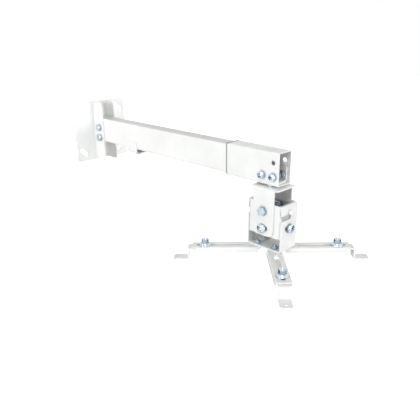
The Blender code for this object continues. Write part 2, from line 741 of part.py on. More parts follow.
def cradle(roll):
    """Upward U that hooks on the roll studs and carries the legs."""
    side = CRADLE_LENGTH / 2 - CRADLE_THICK / 2
    floor = -CRADLE_BELOW + CRADLE_THICK / 2
    path = [(-side, CRADLE_ABOVE), (-side, floor), (side, floor), (side, CRADLE_ABOVE)]
    half = CRADLE_WIDTH / 2
    item = prisms("cradle", [(bent_strip(path, CRADLE_THICK, CRADLE_BEND), "XZ", -half, half)],
                  STEEL["white"])
    outline = rounded([(-half, -2 * CRADLE_BELOW), (half, -2 * CRADLE_BELOW),
                       (half, CRADLE_ABOVE), (-half, CRADLE_ABOVE)],
                      [0, 0, CRADLE_CORNER, CRADLE_CORNER])
    cut(item, [(outline, "YZ", -CRADLE_LENGTH, CRADLE_LENGTH)], "INTERSECT")
    lock = arc_slot(ROLL_LOCK_RADIUS, ROLL_SWING, LOCK_SLOT_WIDTH)
    cut(item, [(hook_outline(), "YZ", -CRADLE_LENGTH, CRADLE_LENGTH),
               (lock, "YZ", -CRADLE_LENGTH, CRADLE_LENGTH)])
    holes = [(circle((x, y), M6 / 2 + HOLE_CLEAR), "XY",
              floor - CRADLE_THICK, floor + CRADLE_THICK) for _, x, y, _ in leg_spots()]
    cut(item, holes)
    place(item, roll)


def leg(name):
    """Channel with a round inner end and a long slot, its pivot at the origin."""
    side = LEG_WIDTH / 2 - LEG_THICK / 2
    path = [(side, -LEG_DEPTH), (side, -LEG_THICK / 2),
            (-side, -LEG_THICK / 2), (-side, -LEG_DEPTH)]
    half = LEG_WIDTH / 2
    item = prisms(name, [(bent_strip(path, LEG_THICK, LEG_BEND), "YZ", -half, LEG_REACH)],
                  STEEL["white"])
    tip = rounded([(0, -half), (LEG_REACH, -half), (LEG_REACH, half), (0, half)],
                  [0, LEG_TIP_CORNER, LEG_TIP_CORNER, 0])
    plan = tip[:-1] + arc((0, 0), half, math.pi / 2, math.pi, 4 * ARC)[:-1]
    cut(item, [(plan, "XY", -2 * LEG_DEPTH, LEG_DEPTH)], "INTERSECT")
    relief = rectangle((-LEG_WIDTH, -2 * LEG_DEPTH), (0, -LEG_THICK))
    cut(item, [(relief, "XZ", -LEG_WIDTH, LEG_WIDTH)])
    end = LEG_REACH - LEG_SLOT_END_WALL
    run = slot(((LEG_SLOT_FROM + end) / 2, 0), end - LEG_SLOT_FROM, LEG_SLOT_WIDTH)
    pivot = circle((0, 0), M6 / 2 + HOLE_CLEAR)
    return cut(item, [(pivot, "XY", -LEG_DEPTH, LEG_DEPTH), (run, "XY", -LEG_DEPTH, LEG_DEPTH)])


def foot(name):
    """Z-shaped foot under the leg, its bolt at the origin, its pad at the drop's end."""
    top = -LEG_THICK - GAP
    upper = top - FOOT_THICK / 2
    lower = top - FOOT_DROP + FOOT_THICK / 2
    web = FOOT_WEB - FOOT_THICK / 2
    end = FOOT_WEB + FOOT_PAD
    path = [(-FOOT_TAIL, upper), (web, upper), (web, lower), (end, lower)]
    half = FOOT_WIDTH / 2
    item = prisms(name, [(bent_strip(path, FOOT_THICK, FOOT_BEND), "XZ", -half, half)],
                  STEEL["white"])
    plan = rectangle((-FOOT_TAIL, -half), (end, half), FOOT_CORNER)
    cut(item, [(plan, "XY", 2 * lower, -top)], "INTERSECT")
    bolt = circle((0, 0), M6 / 2 + HOLE_CLEAR)
    screw = circle((FOOT_WEB + FOOT_HOLE_AT, 0), FOOT_HOLE_DIA / 2)
    return cut(item, [(bolt, "XY", upper - FOOT_THICK, upper + FOOT_THICK),
                      (screw, "XY", lower - FOOT_THICK, lower + FOOT_THICK)])


def leg_set(roll, label, x, y, angle):
    """One leg with its pivot bolt, foot, foot bolt and nuts."""
    head_seat = LEG_TOP - LEG_THICK - GAP
    nut_seat = -CRADLE_BELOW + CRADLE_THICK + GAP
    bolt = hex_bolt("leg_bolt_" + label, M6, M6_FLATS, M6_HEAD,
                    nut_seat + M6_NUT + BOLT_PROUD - head_seat)
    place(bolt, roll, (x, y, head_seat), TOWARDS["-z"])
    nut = hex_nut("leg_nut_" + label, M6, M6_FLATS, M6_NUT)
    place(nut, roll, (x, y, nut_seat), TOWARDS["+z"])
    hinge = joint("leg_hinge_" + label, roll, (x, y, LEG_TOP), angle)
    place(leg("leg_" + label), hinge)
    runner = joint("foot_slide_" + label, hinge, (FOOT_AT, 0, 0))
    place(foot("foot_" + label), runner)
    seat = -LEG_THICK - GAP - FOOT_THICK - GAP
    length = FLANGE_NUT + GAP - BOLT_SINK - seat
    bolt = hex_bolt("foot_bolt_" + label, M6, M6_FLATS, M6_HEAD, length)
    place(bolt, runner, (0, 0, seat), TOWARDS["-z"])
    place(flange_nut("foot_nut_" + label), runner, (0, 0, GAP))


def main():
    """Build the whole mount."""
    clear_scene()
    STEEL["white"] = finish("white_powder_coat", (0.86, 0.87, 0.88), 0.45, 0.0)
    STEEL["zinc"] = finish("zinc_plate", (0.62, 0.68, 0.74), 0.3, 1.0)
    root = joint("wall", None)
    wall_plate(root)
    arm_bolts(root)
    arm_tube(root)
    cable_clip(root)
    slide = joint("sleeve_slide", root, (AXIS_REACH, 0, 0))
    sleeve(slide)
    saddle(slide)
    saddle_screws(slide)
    swivel_bolt(slide)
    swivel = joint("head_swivel", slide, (0, 0, YOKE_TOP))
    yoke(swivel)
    tilt = joint("head_tilt", swivel, (0, 0, -PIVOT_DROP))
    knuckle(tilt)
    knuckle_bolts(tilt)
    roll = joint("head_roll", tilt)
    cradle(roll)
    for label, x, y, angle in leg_spots():
        leg_set(roll, label, x, y, angle)


main()
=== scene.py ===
"""Looks of a projector wall mount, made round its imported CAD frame.

A wall bracket carries a box-section arm. A sleeve slides on the arm's end, and a universal
head under it turns, tilts and rolls. Four legs swing under the head, each with a sliding foot.
All sheet metal is white powder coat and all fasteners are bluish zinc plate.

Everything is in metres, Z up, in the frame's own axes: the origin lies on the wall, on the
arm's axis, and X runs out from the wall along the arm.
"""

from __future__ import annotations

import json
import logging
import math
from dataclasses import dataclass, field
from enum import Enum

import bmesh
import bpy
import numpy as np
from mathutils import Matrix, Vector
from mathutils.geometry import delaunay_2d_cdt


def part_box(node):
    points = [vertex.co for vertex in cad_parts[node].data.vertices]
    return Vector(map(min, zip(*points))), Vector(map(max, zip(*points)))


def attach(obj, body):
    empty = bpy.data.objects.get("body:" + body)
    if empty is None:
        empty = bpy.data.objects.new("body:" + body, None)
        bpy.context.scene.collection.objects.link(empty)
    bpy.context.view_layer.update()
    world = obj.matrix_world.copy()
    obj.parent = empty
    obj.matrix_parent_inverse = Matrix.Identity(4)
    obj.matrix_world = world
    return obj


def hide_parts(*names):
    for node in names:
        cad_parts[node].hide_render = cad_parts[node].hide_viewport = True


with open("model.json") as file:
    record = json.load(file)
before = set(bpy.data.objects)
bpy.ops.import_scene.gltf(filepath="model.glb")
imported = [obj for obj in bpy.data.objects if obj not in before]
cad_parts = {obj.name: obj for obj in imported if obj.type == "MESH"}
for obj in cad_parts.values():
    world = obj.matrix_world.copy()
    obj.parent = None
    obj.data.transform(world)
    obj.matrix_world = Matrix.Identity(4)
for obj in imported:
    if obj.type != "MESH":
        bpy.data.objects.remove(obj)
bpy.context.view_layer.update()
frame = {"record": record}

LOG = logging.getLogger("wall_mount")
MM = 0.001
MERGE = 1e-7  # points closer than this are one
SAME = 1e-9  # numbers closer than this are equal

Vec2 = tuple[float, float]
Vec3 = tuple[float, float, float]


class Finish(Enum):
    """The two finishes of the mount, by the record's material slots."""

    POWDER = "white_steel"
    ZINC = "zinc"


class Way(Enum):
    """A direction along one of the frame's axes."""

    PLUS_X = (1.0, 0.0, 0.0)
    MINUS_X = (-1.0, 0.0, 0.0)
    PLUS_Y = (0.0, 1.0, 0.0)
    MINUS_Y = (0.0, -1.0, 0.0)
    PLUS_Z = (0.0, 0.0, 1.0)
    MINUS_Z = (0.0, 0.0, -1.0)


# Outlines in a flat blank


def unit(vectors: np.ndarray) -> np.ndarray:
    """Vectors scaled to length one."""
    return vectors / np.linalg.norm(vectors, axis=-1, keepdims=True)


def arc_points(centre: np.ndarray, radius: float, start: float, sweep: float, steps: int) -> np.ndarray:
    """Points of an arc: centre + radius * (cos a, sin a), with a from start over sweep.

    Args:
        centre: The arc's centre, two numbers.
        radius: Its radius in metres.
        start: The first point's angle in radians.
        sweep: The angle it runs through, positive anticlockwise.
        steps: How many chords it is made of.

    Returns:
        An array of steps + 1 points.
    """
    angle = start + sweep * np.linspace(0.0, 1.0, steps + 1)
    return np.asarray(centre) + radius * np.stack([np.cos(angle), np.sin(angle)], axis=1)


def circle_loop(centre: Vec2, diameter: float, steps: int = 48) -> np.ndarray:
    """A full circle as a closed loop, its last point left out."""
    return arc_points(np.asarray(centre), diameter / 2, 0.0, math.tau, steps)[:-1]


def rounded_loop(corners: list[Vec2], radii: list[float], steps: int = 8) -> np.ndarray:
    """A polygon whose corners are rounded, each by its own radius.

    At a corner with half angle h between its two sides, the arc of radius r touches them at
    r / tan(h) from the corner, and its centre lies r / sin(h) along the bisector.

    Args:
        corners: The polygon's corners in order.
        radii: One radius for each corner; 0 keeps it sharp.
        steps: Chords in each rounded corner.

    Returns:
        The loop's points, without repeats.
    """
    here = np.asarray(corners, float)
    radius = np.asarray(radii, float)[:, None]
    back = unit(np.roll(here, 1, axis=0) - here)
    ahead = unit(np.roll(here, -1, axis=0) - here)
    half = np.arccos(np.clip(np.sum(back * ahead, axis=1, keepdims=True), -1, 1)) / 2
    middle = here + unit(back + ahead) * radius / np.sin(half)
    first = here + back * radius / np.tan(half) - middle
    last = here + ahead * radius / np.tan(half) - middle
    start = np.arctan2(first[:, 1:], first[:, :1])
    sweep = np.arctan2(last[:, 1:], last[:, :1]) - start
    sweep = (sweep + math.pi) % math.tau - math.pi
    angle = start + sweep * np.linspace(0.0, 1.0, steps + 1)[None, :]
    loop = middle[:, None, :] + radius[:, :, None] * np.stack([np.cos(angle), np.sin(angle)], axis=2)
    loop = loop.reshape(-1, 2)
    apart = np.linalg.norm(loop - np.roll(loop, 1, axis=0), axis=1) > MERGE
    return loop[apart]


def corner_loop(rows: list[Vec3], steps: int = 8) -> np.ndarray:
    """A rounded polygon from rows of (along, across, corner radius)."""
    return rounded_loop([row[:2] for row in rows], [row[2] for row in rows], steps)


def box_loop(low: Vec2, high: Vec2, radius: float = 0.0) -> np.ndarray:
    """A rectangle from its low to its high corner, with one corner radius."""
    return rounded_loop([low, (high[0], low[1]), high, (low[0], high[1])], [radius] * 4)


def slot_loop(centre: Vec2, length: float, width: float, angle: float) -> np.ndarray:
    """A straight slot with round ends: two half circles joined.

    Args:
        centre: The slot's middle.
        length: Whole length over its round ends.
        width: Its width.
        angle: How far it is turned, in radians.

    Returns:
        The loop's points.
    """
    run = (length - width) / 2 * np.array([math.cos(angle), math.sin(angle)])
    near = arc_points(centre + run, width / 2, angle - math.pi / 2, math.pi, 20)
    far = arc_points(centre - run, width / 2, angle + math.pi / 2, math.pi, 20)
    return np.concatenate([near, far])


def arc_slot_loop(radius: float, swing: float, width: float) -> np.ndarray:
    """A slot along an arc below the origin: two arcs at radius +/- width / 2, with round ends.

    Args:
        radius: The middle line's radius in metres.
        swing: Half the angle it covers, in degrees.
        width: The slot's width in metres.

    Returns:
        The closed loop in (sideways, up).
    """
    half = math.radians(swing)
    down = -math.pi / 2
    origin = np.zeros(2)
    outer = arc_points(origin, radius + width / 2, down - half, 2 * half, 16)
    inner = arc_points(origin, radius - width / 2, down + half, -2 * half, 16)
    right = radius * np.array([math.cos(down + half), math.sin(down + half)])
    left = radius * np.array([math.cos(down - half), math.sin(down - half)])
    cap_right = arc_points(right, width / 2, down + half, math.pi, 16)[1:-1]
    cap_left = arc_points(left, width / 2, down - half + math.pi, math.pi, 16)[1:-1]
    return np.concatenate([outer, cap_right, inner, cap_left])


def loop_area(loop: np.ndarray) -> float:
    """Signed area of a loop, positive when it runs anticlockwise."""
    after = np.roll(loop, -1, axis=0)
    return float(np.sum(loop[:, 0] * after[:, 1] - loop[:, 1] * after[:, 0]) / 2)


def outward(loop: np.ndarray) -> np.ndarray:
    """Mitred outward directions of a loop's points: moving each point by d along its own
    moves both sides it joins by d.

    Args:
        loop: Points of a closed loop.

    Returns:
        One vector for each point, longer than one where two sides meet at an angle.
    """
    edge = unit(np.roll(loop, -1, axis=0) - loop) * math.copysign(1.0, loop_area(loop))
    normal = np.stack([edge[:, 1], -edge[:, 0]], axis=1)
    before = np.roll(normal, 1, axis=0)
    return (before + normal) / (1.0 + np.sum(before * normal, axis=1, keepdims=True))


def inside(points: np.ndarray, loops: list[np.ndarray]) -> np.ndarray:
    """Even-odd test of points against several closed loops at once.

    Args:
        points: The points to test, one row each.
        loops: The loops, of which holes are some.

    Returns:
        True for each point that an odd number of loops encloses.
    """
    start = np.concatenate(loops)
    end = np.concatenate([np.roll(loop, -1, axis=0) for loop in loops])
    x, y = points[:, :1], points[:, 1:]
    spans = (start[None, :, 1] > y) != (end[None, :, 1] > y)
    rise = np.where(spans, end[None, :, 1] - start[None, :, 1], 1.0)
    cross = start[None, :, 0] + (y - start[None, :, 1]) / rise * (end - start)[None, :, 0]
    return np.sum(spans & (x < cross), axis=1) % 2 == 1


def flat_fill(loops: list[np.ndarray]) -> np.ndarray:
    """Triangles that fill the area between an outline and its holes.

    Args:
        loops: The outline first, then the holes.

    Returns:
        Rows of three indices into the loops' points laid end to end.
    """
    points = np.concatenate(loops)
    edges, base = [], 0
    for loop in loops:
        run = np.arange(len(loop))
        edges.append(np.stack([run, (run + 1) % len(loop)], axis=1) + base)
        base += len(loop)
    found = delaunay_2d_cdt([(x / MM, y / MM) for x, y in points.tolist()],
                            np.concatenate(edges).tolist(), [], 0, MERGE)
    first = np.array([source[0] for source in found[3]])
    triangles = first[np.array(found[2])]
    return triangles[inside(points[triangles].mean(axis=1), loops)]


# Meshes


def linked(name: str, data: bpy.types.ID) -> bpy.types.Object:
    """A new object that holds some data, linked to the scene.

    Args:
        name: The object's name.
        data: Its mesh, lamp or camera.

    Returns:
        The object.
    """
    item = bpy.data.objects.new(name, data)
    bpy.context.scene.collection.objects.link(item)
    return item


def grid_faces(rows: int, columns: int, wrap_rows: bool, wrap_columns: bool) -> np.ndarray:
    """Four-cornered faces of a grid of points that is stored row by row.

    Args:
        rows: Number of rows.
        columns: Number of points in a row.
        wrap_rows: Whether the last row joins the first.
        wrap_columns: Whether each row is a closed ring.

    Returns:
        An array of rows of four point indices.
    """
    row = np.arange(rows if wrap_rows else rows - 1)[:, None]
    column = np.arange(columns if wrap_columns else columns - 1)[None, :]
    below, beside = (row + 1) % rows, (column + 1) % columns
    corners = [row * columns + column, row * columns + beside,
               below * columns + beside, below * columns + column]
    grids = [np.broadcast_to(corner, (row.size, column.size)) for corner in corners]
    return np.stack(grids, axis=2).reshape(-1, 4)


def mesh_from(name: str, points: np.ndarray, faces: list[np.ndarray]) -> bmesh.types.BMesh:
    """A bmesh of points and faces, through from_pydata.

    Args:
        name: The scratch mesh's name.
        points: One row of three numbers for each point.
        faces: Arrays of faces, each array of one kind.

    Returns:
        The bmesh, not yet cleaned.
    """
    data = bpy.data.meshes.new(name + "_scratch")
    rows = [face for group in faces for face in group.tolist()]
    data.from_pydata(points.tolist(), [], rows)
    form = bmesh.new()
    form.from_mesh(data)
    bpy.data.meshes.remove(data)
    return form


def closed_object(name: str, form: bmesh.types.BMesh, sharp: float = 180.0) -> bpy.types.Object:
    """Merge a bmesh's doubles, turn its faces outwards and make it an object at the origin.

    Args:
        name: The object's name.
        form: The bmesh, which is freed.
        sharp: Edges that turn by more than this many degrees stay crisp.

    Returns:
        The new object, linked to the scene.
    """
    bmesh.ops.remove_doubles(form, verts=form.verts[:], dist=MERGE)
    bmesh.ops.dissolve_degenerate(form, edges=form.edges[:], dist=MERGE / 10)
    bmesh.ops.recalc_face_normals(form, faces=form.faces[:])
    data = bpy.data.meshes.new(name)
    form.to_mesh(data)
    form.free()
    data.shade_smooth()
    if sharp < 180.0:
        data.set_sharp_from_angle(angle=math.radians(sharp))
    return linked(name, data)


# Folded sheet metal


@dataclass
class Fold:
    """The bent line that a sheet's middle follows, seen from the side.

    The blank's coordinate s runs along it. On a straight part a point lies at
    start + along * s + left * h, with h its height over the middle. In a bend of radius R it
    lies on a circle round the bend's centre at R - h (turning left) or R + h (turning right).
    """

    corners: list[Vec2]
    radius: float = 0.0
    steps: int = 8
    along: np.ndarray = field(init=False)
    turn: np.ndarray = field(init=False)
    before: np.ndarray = field(init=False)
    straight: np.ndarray = field(init=False)
    starts: np.ndarray = field(init=False)
    ends: np.ndarray = field(init=False)

    def __post_init__(self) -> None:
        """Work out where each straight part and each bend starts along the blank."""
        legs = np.diff(np.asarray(self.corners, float), axis=0)
        size = np.linalg.norm(legs, axis=1)
        self.along = legs / size[:, None]
        one, two = self.along[:-1], self.along[1:]
        cross = one[:, 0] * two[:, 1] - one[:, 1] * two[:, 0]
        self.turn = np.arctan2(cross, np.sum(one * two, axis=1))
        reach = self.radius * np.tan(np.abs(self.turn) / 2)
        self.before = np.concatenate([[0.0], reach])
        self.straight = size - self.before - np.concatenate([reach, [0.0]])
        bends = self.radius * np.abs(self.turn)
        self.starts = np.concatenate([[0.0], np.cumsum(self.straight[:-1] + bends)])
        self.ends = self.starts + self.straight

    @property
    def length(self) -> float:
        """Length of the blank along the fold."""
        return float(self.ends[-1])

    def at(self, leg: int, distance: float) -> float:
        """Place in the blank of a point on a straight part, from that part's first corner."""
        return float(self.starts[leg] + distance - self.before[leg])

    def stations(self) -> np.ndarray:
        """Places in the blank at which its bends are cut into steps.

        Returns:
            Distances along the blank.
        """
        share = np.linspace(0.0, 1.0, self.steps + 1)[None, :]
        bends = (self.radius * np.abs(self.turn))[:, None]
        return (self.ends[:-1, None] + bends * share).reshape(-1)

    def place(self, s: np.ndarray, h: np.ndarray) -> np.ndarray:
        """Points of the folded sheet in its side view.

        Args:
            s: Places along the blank.
            h: Heights over the sheet's middle, positive to the left of the fold.

        Returns:
            One row of two numbers for each point.
        """
        points = np.asarray(self.corners, float)
        leg = np.clip(np.searchsorted(self.starts, s, side="right") - 1, 0, len(self.starts) - 1)
        along = self.along[leg]
        left = np.stack([-along[:, 1], along[:, 0]], axis=1)
        run = (s - self.starts[leg] + self.before[leg])[:, None]
        flat = points[leg] + along * run + left * h[:, None]
        if not len(self.turn):
            return flat
        turn = self.turn[np.minimum(leg, len(self.turn) - 1)]
        bent = (s > self.ends[leg]) & (leg < len(self.turn))
        sign = np.sign(turn)[:, None]
        angle = sign * ((s - self.ends[leg]) / self.radius)[:, None]
        start = points[leg] + along * (self.before[leg] + self.straight[leg])[:, None]
        arm = -sign * left
        arm = arm * np.cos(angle) + np.stack([-arm[:, 1], arm[:, 0]], axis=1) * np.sin(angle)
        curve = start + left * sign * self.radius + arm * (self.radius - sign * h[:, None])
        return np.where(bent[:, None], curve, flat)


@dataclass(frozen=True)
class Stand:
    """Where a side view stands in space: its origin and the directions of its two axes,
    with the blank's width along a third."""

    origin: Vec3
    across: Vec3
    up: Vec3
    wide: Vec3

    def points(self, view: np.ndarray, width: np.ndarray) -> np.ndarray:
        """Side-view points and their place across the width, as points in space."""
        axes = np.array([self.across, self.up, self.wide])
        return np.asarray(self.origin) + np.column_stack([view, width]) @ axes


def along_arm(x: float = 0.0, z: float = 0.0) -> Stand:
    """The view of a section of the arm: Y across, Z up and the blank's width along X."""
    return Stand((x, 0, z), (0, 1, 0), (0, 0, 1), (1, 0, 0))


@dataclass
class Sheet:
    """A blank with holes and softened edges, folded into shape.

    Over the blank's plane (s, t) each loop carries a rim: going round a quarter circle of
    radius soft at each face, a rim point lies soft * (1 - cos a) inside the loop at height
    thick / 2 - soft * (1 - sin a). Flat triangles fill both faces between the rims, every
    bend is cut into steps, and the fold then places all points.
    """

    name: str
    fold: Fold
    stand: Stand
    thick: float
    outline: np.ndarray
    holes: list[np.ndarray] = field(default_factory=list)
    soft: float = 0.45 * MM
    tube: bool = False

    def rim(self) -> tuple[np.ndarray, np.ndarray]:
        """How far in and how high each column of a rim lies, from the back to the front face.

        Returns:
            The inset and the height of each column.
        """
        soft = min(self.soft, self.thick * 0.45)
        angle = np.linspace(0.0, math.pi / 2, 4)
        inset = soft * (1 - np.cos(angle))
        level = self.thick / 2 - soft * (1 - np.sin(angle))
        return (np.concatenate([inset[::-1], inset]), np.concatenate([-level[::-1], level]))

    def ring(self, loop: np.ndarray, hole: bool) -> np.ndarray:
        """A loop's rim as a grid of (s, t, h), one row for each point of the loop.

        Args:
            loop: The outline or a hole.
            hole: Whether it is a hole.

        Returns:
            The grid, one row for each point of the loop.
        """
        inset, level = self.rim()
        side = outward(loop) * (-1.0 if hole else 1.0)
        if self.tube and not hole:
            side = side * np.array([0.0, 1.0])
        plane = loop[:, None, :] - side[:, None, :] * inset[None, :, None]
        height = np.broadcast_to(level[None, :, None], (len(loop), len(level), 1))
        return np.concatenate([plane, height], axis=2)

    def seam(self, loop: np.ndarray) -> np.ndarray:
        """Which sides of a tube's outline are only its seam, where the blank's ends meet.

        Args:
            loop: The tube's outline.

        Returns:
            True for each side that lies on the seam.
        """
        after = np.roll(loop, -1, axis=0)
        near, limit = SAME, self.fold.length - SAME
        at_start = (loop[:, 0] < near) & (after[:, 0] < near)
        return at_start | ((loop[:, 0] > limit) & (after[:, 0] > limit))

    def blank(self) -> bmesh.types.BMesh:
        """The flat blank as a closed bmesh in (s, t, h), or open at its seam for a tube.

        Returns:
            The blank, not yet folded.
        """
        loops = [self.outline] + self.holes
        rings = [self.ring(loop, number > 0) for number, loop in enumerate(loops)]
        columns = rings[0].shape[1]
        faces, base = [], 0
        for number, grid in enumerate(rings):
            quads = grid_faces(len(grid), columns, True, False) + base
            if self.tube and number == 0:
                quads = quads[~np.repeat(self.seam(self.outline), columns - 1)]
            faces.append(quads)
            base += grid.shape[0] * columns
        fill = flat_fill([grid[:, 0, :2] for grid in rings])
        first = np.arange(sum(len(grid) for grid in rings)) * columns
        faces += [first[fill], first[fill[:, ::-1]] + columns - 1]
        points = np.concatenate([grid.reshape(-1, 3) for grid in rings])
        return mesh_from(self.name, points, faces)

    def build(self) -> bpy.types.Object:
        """Make the blank, cut its bends into steps, fold it and close it.

        Returns:
            The finished piece.
        """
        form = self.blank()
        for station in self.fold.stations().tolist():
            everything = form.verts[:] + form.edges[:] + form.faces[:]
            bmesh.ops.bisect_plane(form, geom=everything, dist=MERGE,
                                   plane_co=(station, 0, 0), plane_no=(1, 0, 0))
        flat = np.array([vert.co[:] for vert in form.verts])
        placed = self.stand.points(self.fold.place(flat[:, 0], flat[:, 2]), flat[:, 1])
        for vert, spot in zip(form.verts, placed.tolist()):
            vert.co = spot
        item = closed_object(self.name, form)
        weigh = item.modifiers.new("flat_faces", "WEIGHTED_NORMAL")
        weigh.keep_sharp = False
        weigh.weight = 80
        return item


@dataclass(frozen=True)
class BoxSection:
    """A closed rectangular section of bent wall, drawn from a seam on its top side."""

    width: float
    height: float
    wall: float
    corner: float
    seam: float = 0.0
    soft: float = 0.35 * MM
    steps: int = 6

    @property
    def half(self) -> Vec2:
        """Half width and half height of the wall's middle line."""
        return (self.width - self.wall) / 2, (self.height - self.wall) / 2

    def fold(self) -> Fold:
        """The section's middle line, once round and back to the seam.

        Returns:
            The fold.
        """
        a, b = self.half
        corners = [(self.seam, b), (-a, b), (-a, -b), (a, -b), (a, b), (self.seam, b)]
        return Fold(corners, self.corner - self.wall / 2, self.steps)

    def left(self, level: float) -> float:
        """Place in the blank of a point on the left side."""
        return self.fold().at(1, self.half[1] - level)

    def bottom(self, across: float) -> float:
        """Place in the blank of a point on the bottom side."""
        return self.fold().at(2, self.half[0] + across)

    def right(self, level: float) -> float:
        """Place in the blank of a point on the right side."""
        return self.fold().at(3, self.half[1] + level)

    def top(self, across: float) -> float:
        """Place in the blank of a point on the top side, past the seam."""
        return self.fold().at(4, self.half[0] - across)

    def tube(self, name: str, stand: Stand, low: float, high: float,
             holes: list[np.ndarray]) -> bpy.types.Object:
        """A tube of this section.

        Args:
            name: The piece's name.
            stand: Where the section's view stands, with the tube's length along its width.
            low: Where the tube starts along its length.
            high: Where it ends.
            holes: Loops in the blank.

        Returns:
            The finished piece.
        """
        fold = self.fold()
        outline = box_loop((0.0, low), (fold.length, high))
        return Sheet(name, fold, stand, self.wall, outline, holes, self.soft, tube=True).build()


# Fasteners


@dataclass(frozen=True)
class Thread:
    """A screw thread: its pitch and how deep it is cut."""

    pitch: float
    depth: float

    def wave(self, height: np.ndarray, angle: np.ndarray) -> np.ndarray:
        """Depth of the thread's groove: a triangle wave of height / pitch - angle / turn."""
        phase = height / self.pitch - angle / math.tau
        return self.depth * np.abs(2 * (phase - np.floor(phase)) - 1)


class ThreadSize(Enum):
    """The threads used on the mount."""

    M6 = Thread(1.0 * MM, 0.5 * MM)
    M8 = Thread(1.25 * MM, 0.62 * MM)


@dataclass(frozen=True)
class Spot:
    """Where a fastener stands: the middle of its seat, the way it points and its extent."""

    centre: np.ndarray
    way: np.ndarray
    low: float
    high: float

    @classmethod
    def of_node(cls, node: str, way: Way) -> "Spot":
        """Take a fastener's place from its CAD node.

        Args:
            node: The node's name.
            way: The way its head or top points.

        Returns:
            The spot, with low and high measured along that way.
        """
        low, high = (np.asarray(corner, float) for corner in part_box(node))
        axis = np.asarray(way.value)
        middle = (low + high) / 2
        reach = np.abs((high - low) @ np.abs(axis)) / 2
        level = middle @ axis
        return cls(middle - axis * level, axis, level - reach, level + reach)

    def points(self, radius: np.ndarray, angle: np.ndarray, height: np.ndarray) -> np.ndarray:
        """Points in space of (radius, angle, height) round this spot's axis.

        Args:
            radius: Distances from the axis.
            angle: Angles round it.
            height: Heights along its way.

        Returns:
            Points in space, in an array with one axis more.
        """
        side = np.array([0.0, 0.0, 1.0]) if abs(self.way[2]) < 0.5 else np.array([1.0, 0.0, 0.0])
        other = np.cross(self.way, side)
        return (self.centre + (radius * np.cos(angle))[..., None] * side
                + (radius * np.sin(angle))[..., None] * other + height[..., None] * self.way)


def hexagon_reach(flats: float, angle: np.ndarray) -> np.ndarray:
    """Distance from a hexagon's middle to its side at an angle: half the flats over the cosine
    of the angle from the nearest flat's middle, cut back a little at the corners."""
    from_flat = (angle + math.pi / 6) % (math.pi / 3) - math.pi / 6
    return np.minimum(flats / 2 / np.cos(from_flat), flats / math.sqrt(3) * 0.99)


def chamfered(flats: float) -> tuple[float, float, np.ndarray, np.ndarray]:
    """The chamfer of a hexagon's face, a cone of 30 degrees.

    Args:
        flats: Width across flats.

    Returns:
        The radius at which the flat face ends, one just past the corners, radii between the
        two, and how far the cone has dropped at each.
    """
    flat, tip = 0.46 * flats, flats / math.sqrt(3) * 1.01
    slope = np.linspace(flat, tip, 8)
    return flat, tip, slope, (slope - flat) * math.tan(math.radians(30))


@dataclass
class Turning:
    """A profile spun round an axis, row by row.

    Each row gives a radius, a height, whether it is kept inside the hexagon and how much of
    the thread cuts into it: r = min(radius - cut * wave, hexagon reach).
    """

    flats: float = 0.0
    thread: Thread | None = None
    columns: int = 72
    rows_per_turn: int = 6
    sharp: float = 26.0
    rows: list[np.ndarray] = field(default_factory=list)

    def add(self, radius: object, height: object, hexagon: bool = False, cut: object = 0.0) -> "Turning":
        """Add rows of one kind, from numbers or arrays of one length.

        Args:
            radius: A radius or several.
            height: A height or several.
            hexagon: Whether the hexagon bounds them.
            cut: How much of the thread cuts in.

        Returns:
            The turning itself.
        """
        columns = (np.atleast_1d(np.asarray(value, float)) for value in (radius, height, cut))
        parts = np.broadcast_arrays(*columns)
        flag = np.full(parts[0].shape, float(hexagon))
        self.rows.append(np.column_stack([parts[0], parts[1], flag, parts[2]]))
        return self

    def add_thread(self, radius: float, start: float, end: float, bore: bool = False) -> "Turning":
        """Add the rows of a thread from one height to another, fading in and out at its ends.

        Args:
            radius: The shank's or the bore's radius.
            start: The first height.
            end: The last height.
            bore: Whether the thread cuts outwards.

        Returns:
            The turning itself.
        """
        count = max(2, int(abs(end - start) / self.thread.pitch * self.rows_per_turn))
        height = np.linspace(start, end, count)
        share = np.minimum(np.abs(height - start), np.abs(end - height)) / self.thread.pitch
        fade = np.clip(share + 0.15, 0.0, 1.0)
        return self.add(radius, height, False, -fade if bore else fade)

    def surface(self) -> tuple[np.ndarray, np.ndarray, np.ndarray]:
        """The surface as grids of radius, angle and height.

        Returns:
            Three grids of one shape.
        """
        rows = np.concatenate(self.rows)
        angle = np.linspace(0.0, math.tau, self.columns, endpoint=False)[None, :]
        radius, height, flag, cut = (rows[:, i:i + 1] for i in range(4))
        height = np.broadcast_to(height, (len(rows), self.columns))
        if self.thread is not None:
            radius = radius - cut * self.thread.wave(height, angle)
        radius = np.broadcast_to(radius, height.shape)
        if self.flats:
            kept = np.minimum(radius, hexagon_reach(self.flats, angle))
            radius = np.where(flag > 0.5, kept, radius)
        return radius, np.broadcast_to(angle, height.shape), height

    def build(self, name: str, spot: Spot, ring: bool = False) -> bpy.types.Object:
        """Spin the profile round a spot's axis.

        Args:
            name: The piece's name.
            spot: Where it stands; heights are along its way.
            ring: Whether the last row joins the first, as in a nut.

        Returns:
            The finished piece.
        """
        radius, angle, height = self.surface()
        points = spot.points(radius, angle, height).reshape(-1, 3)
        faces = grid_faces(len(radius), self.columns, ring, True)
        return closed_object(name, mesh_from(name, points, [faces]), self.sharp)


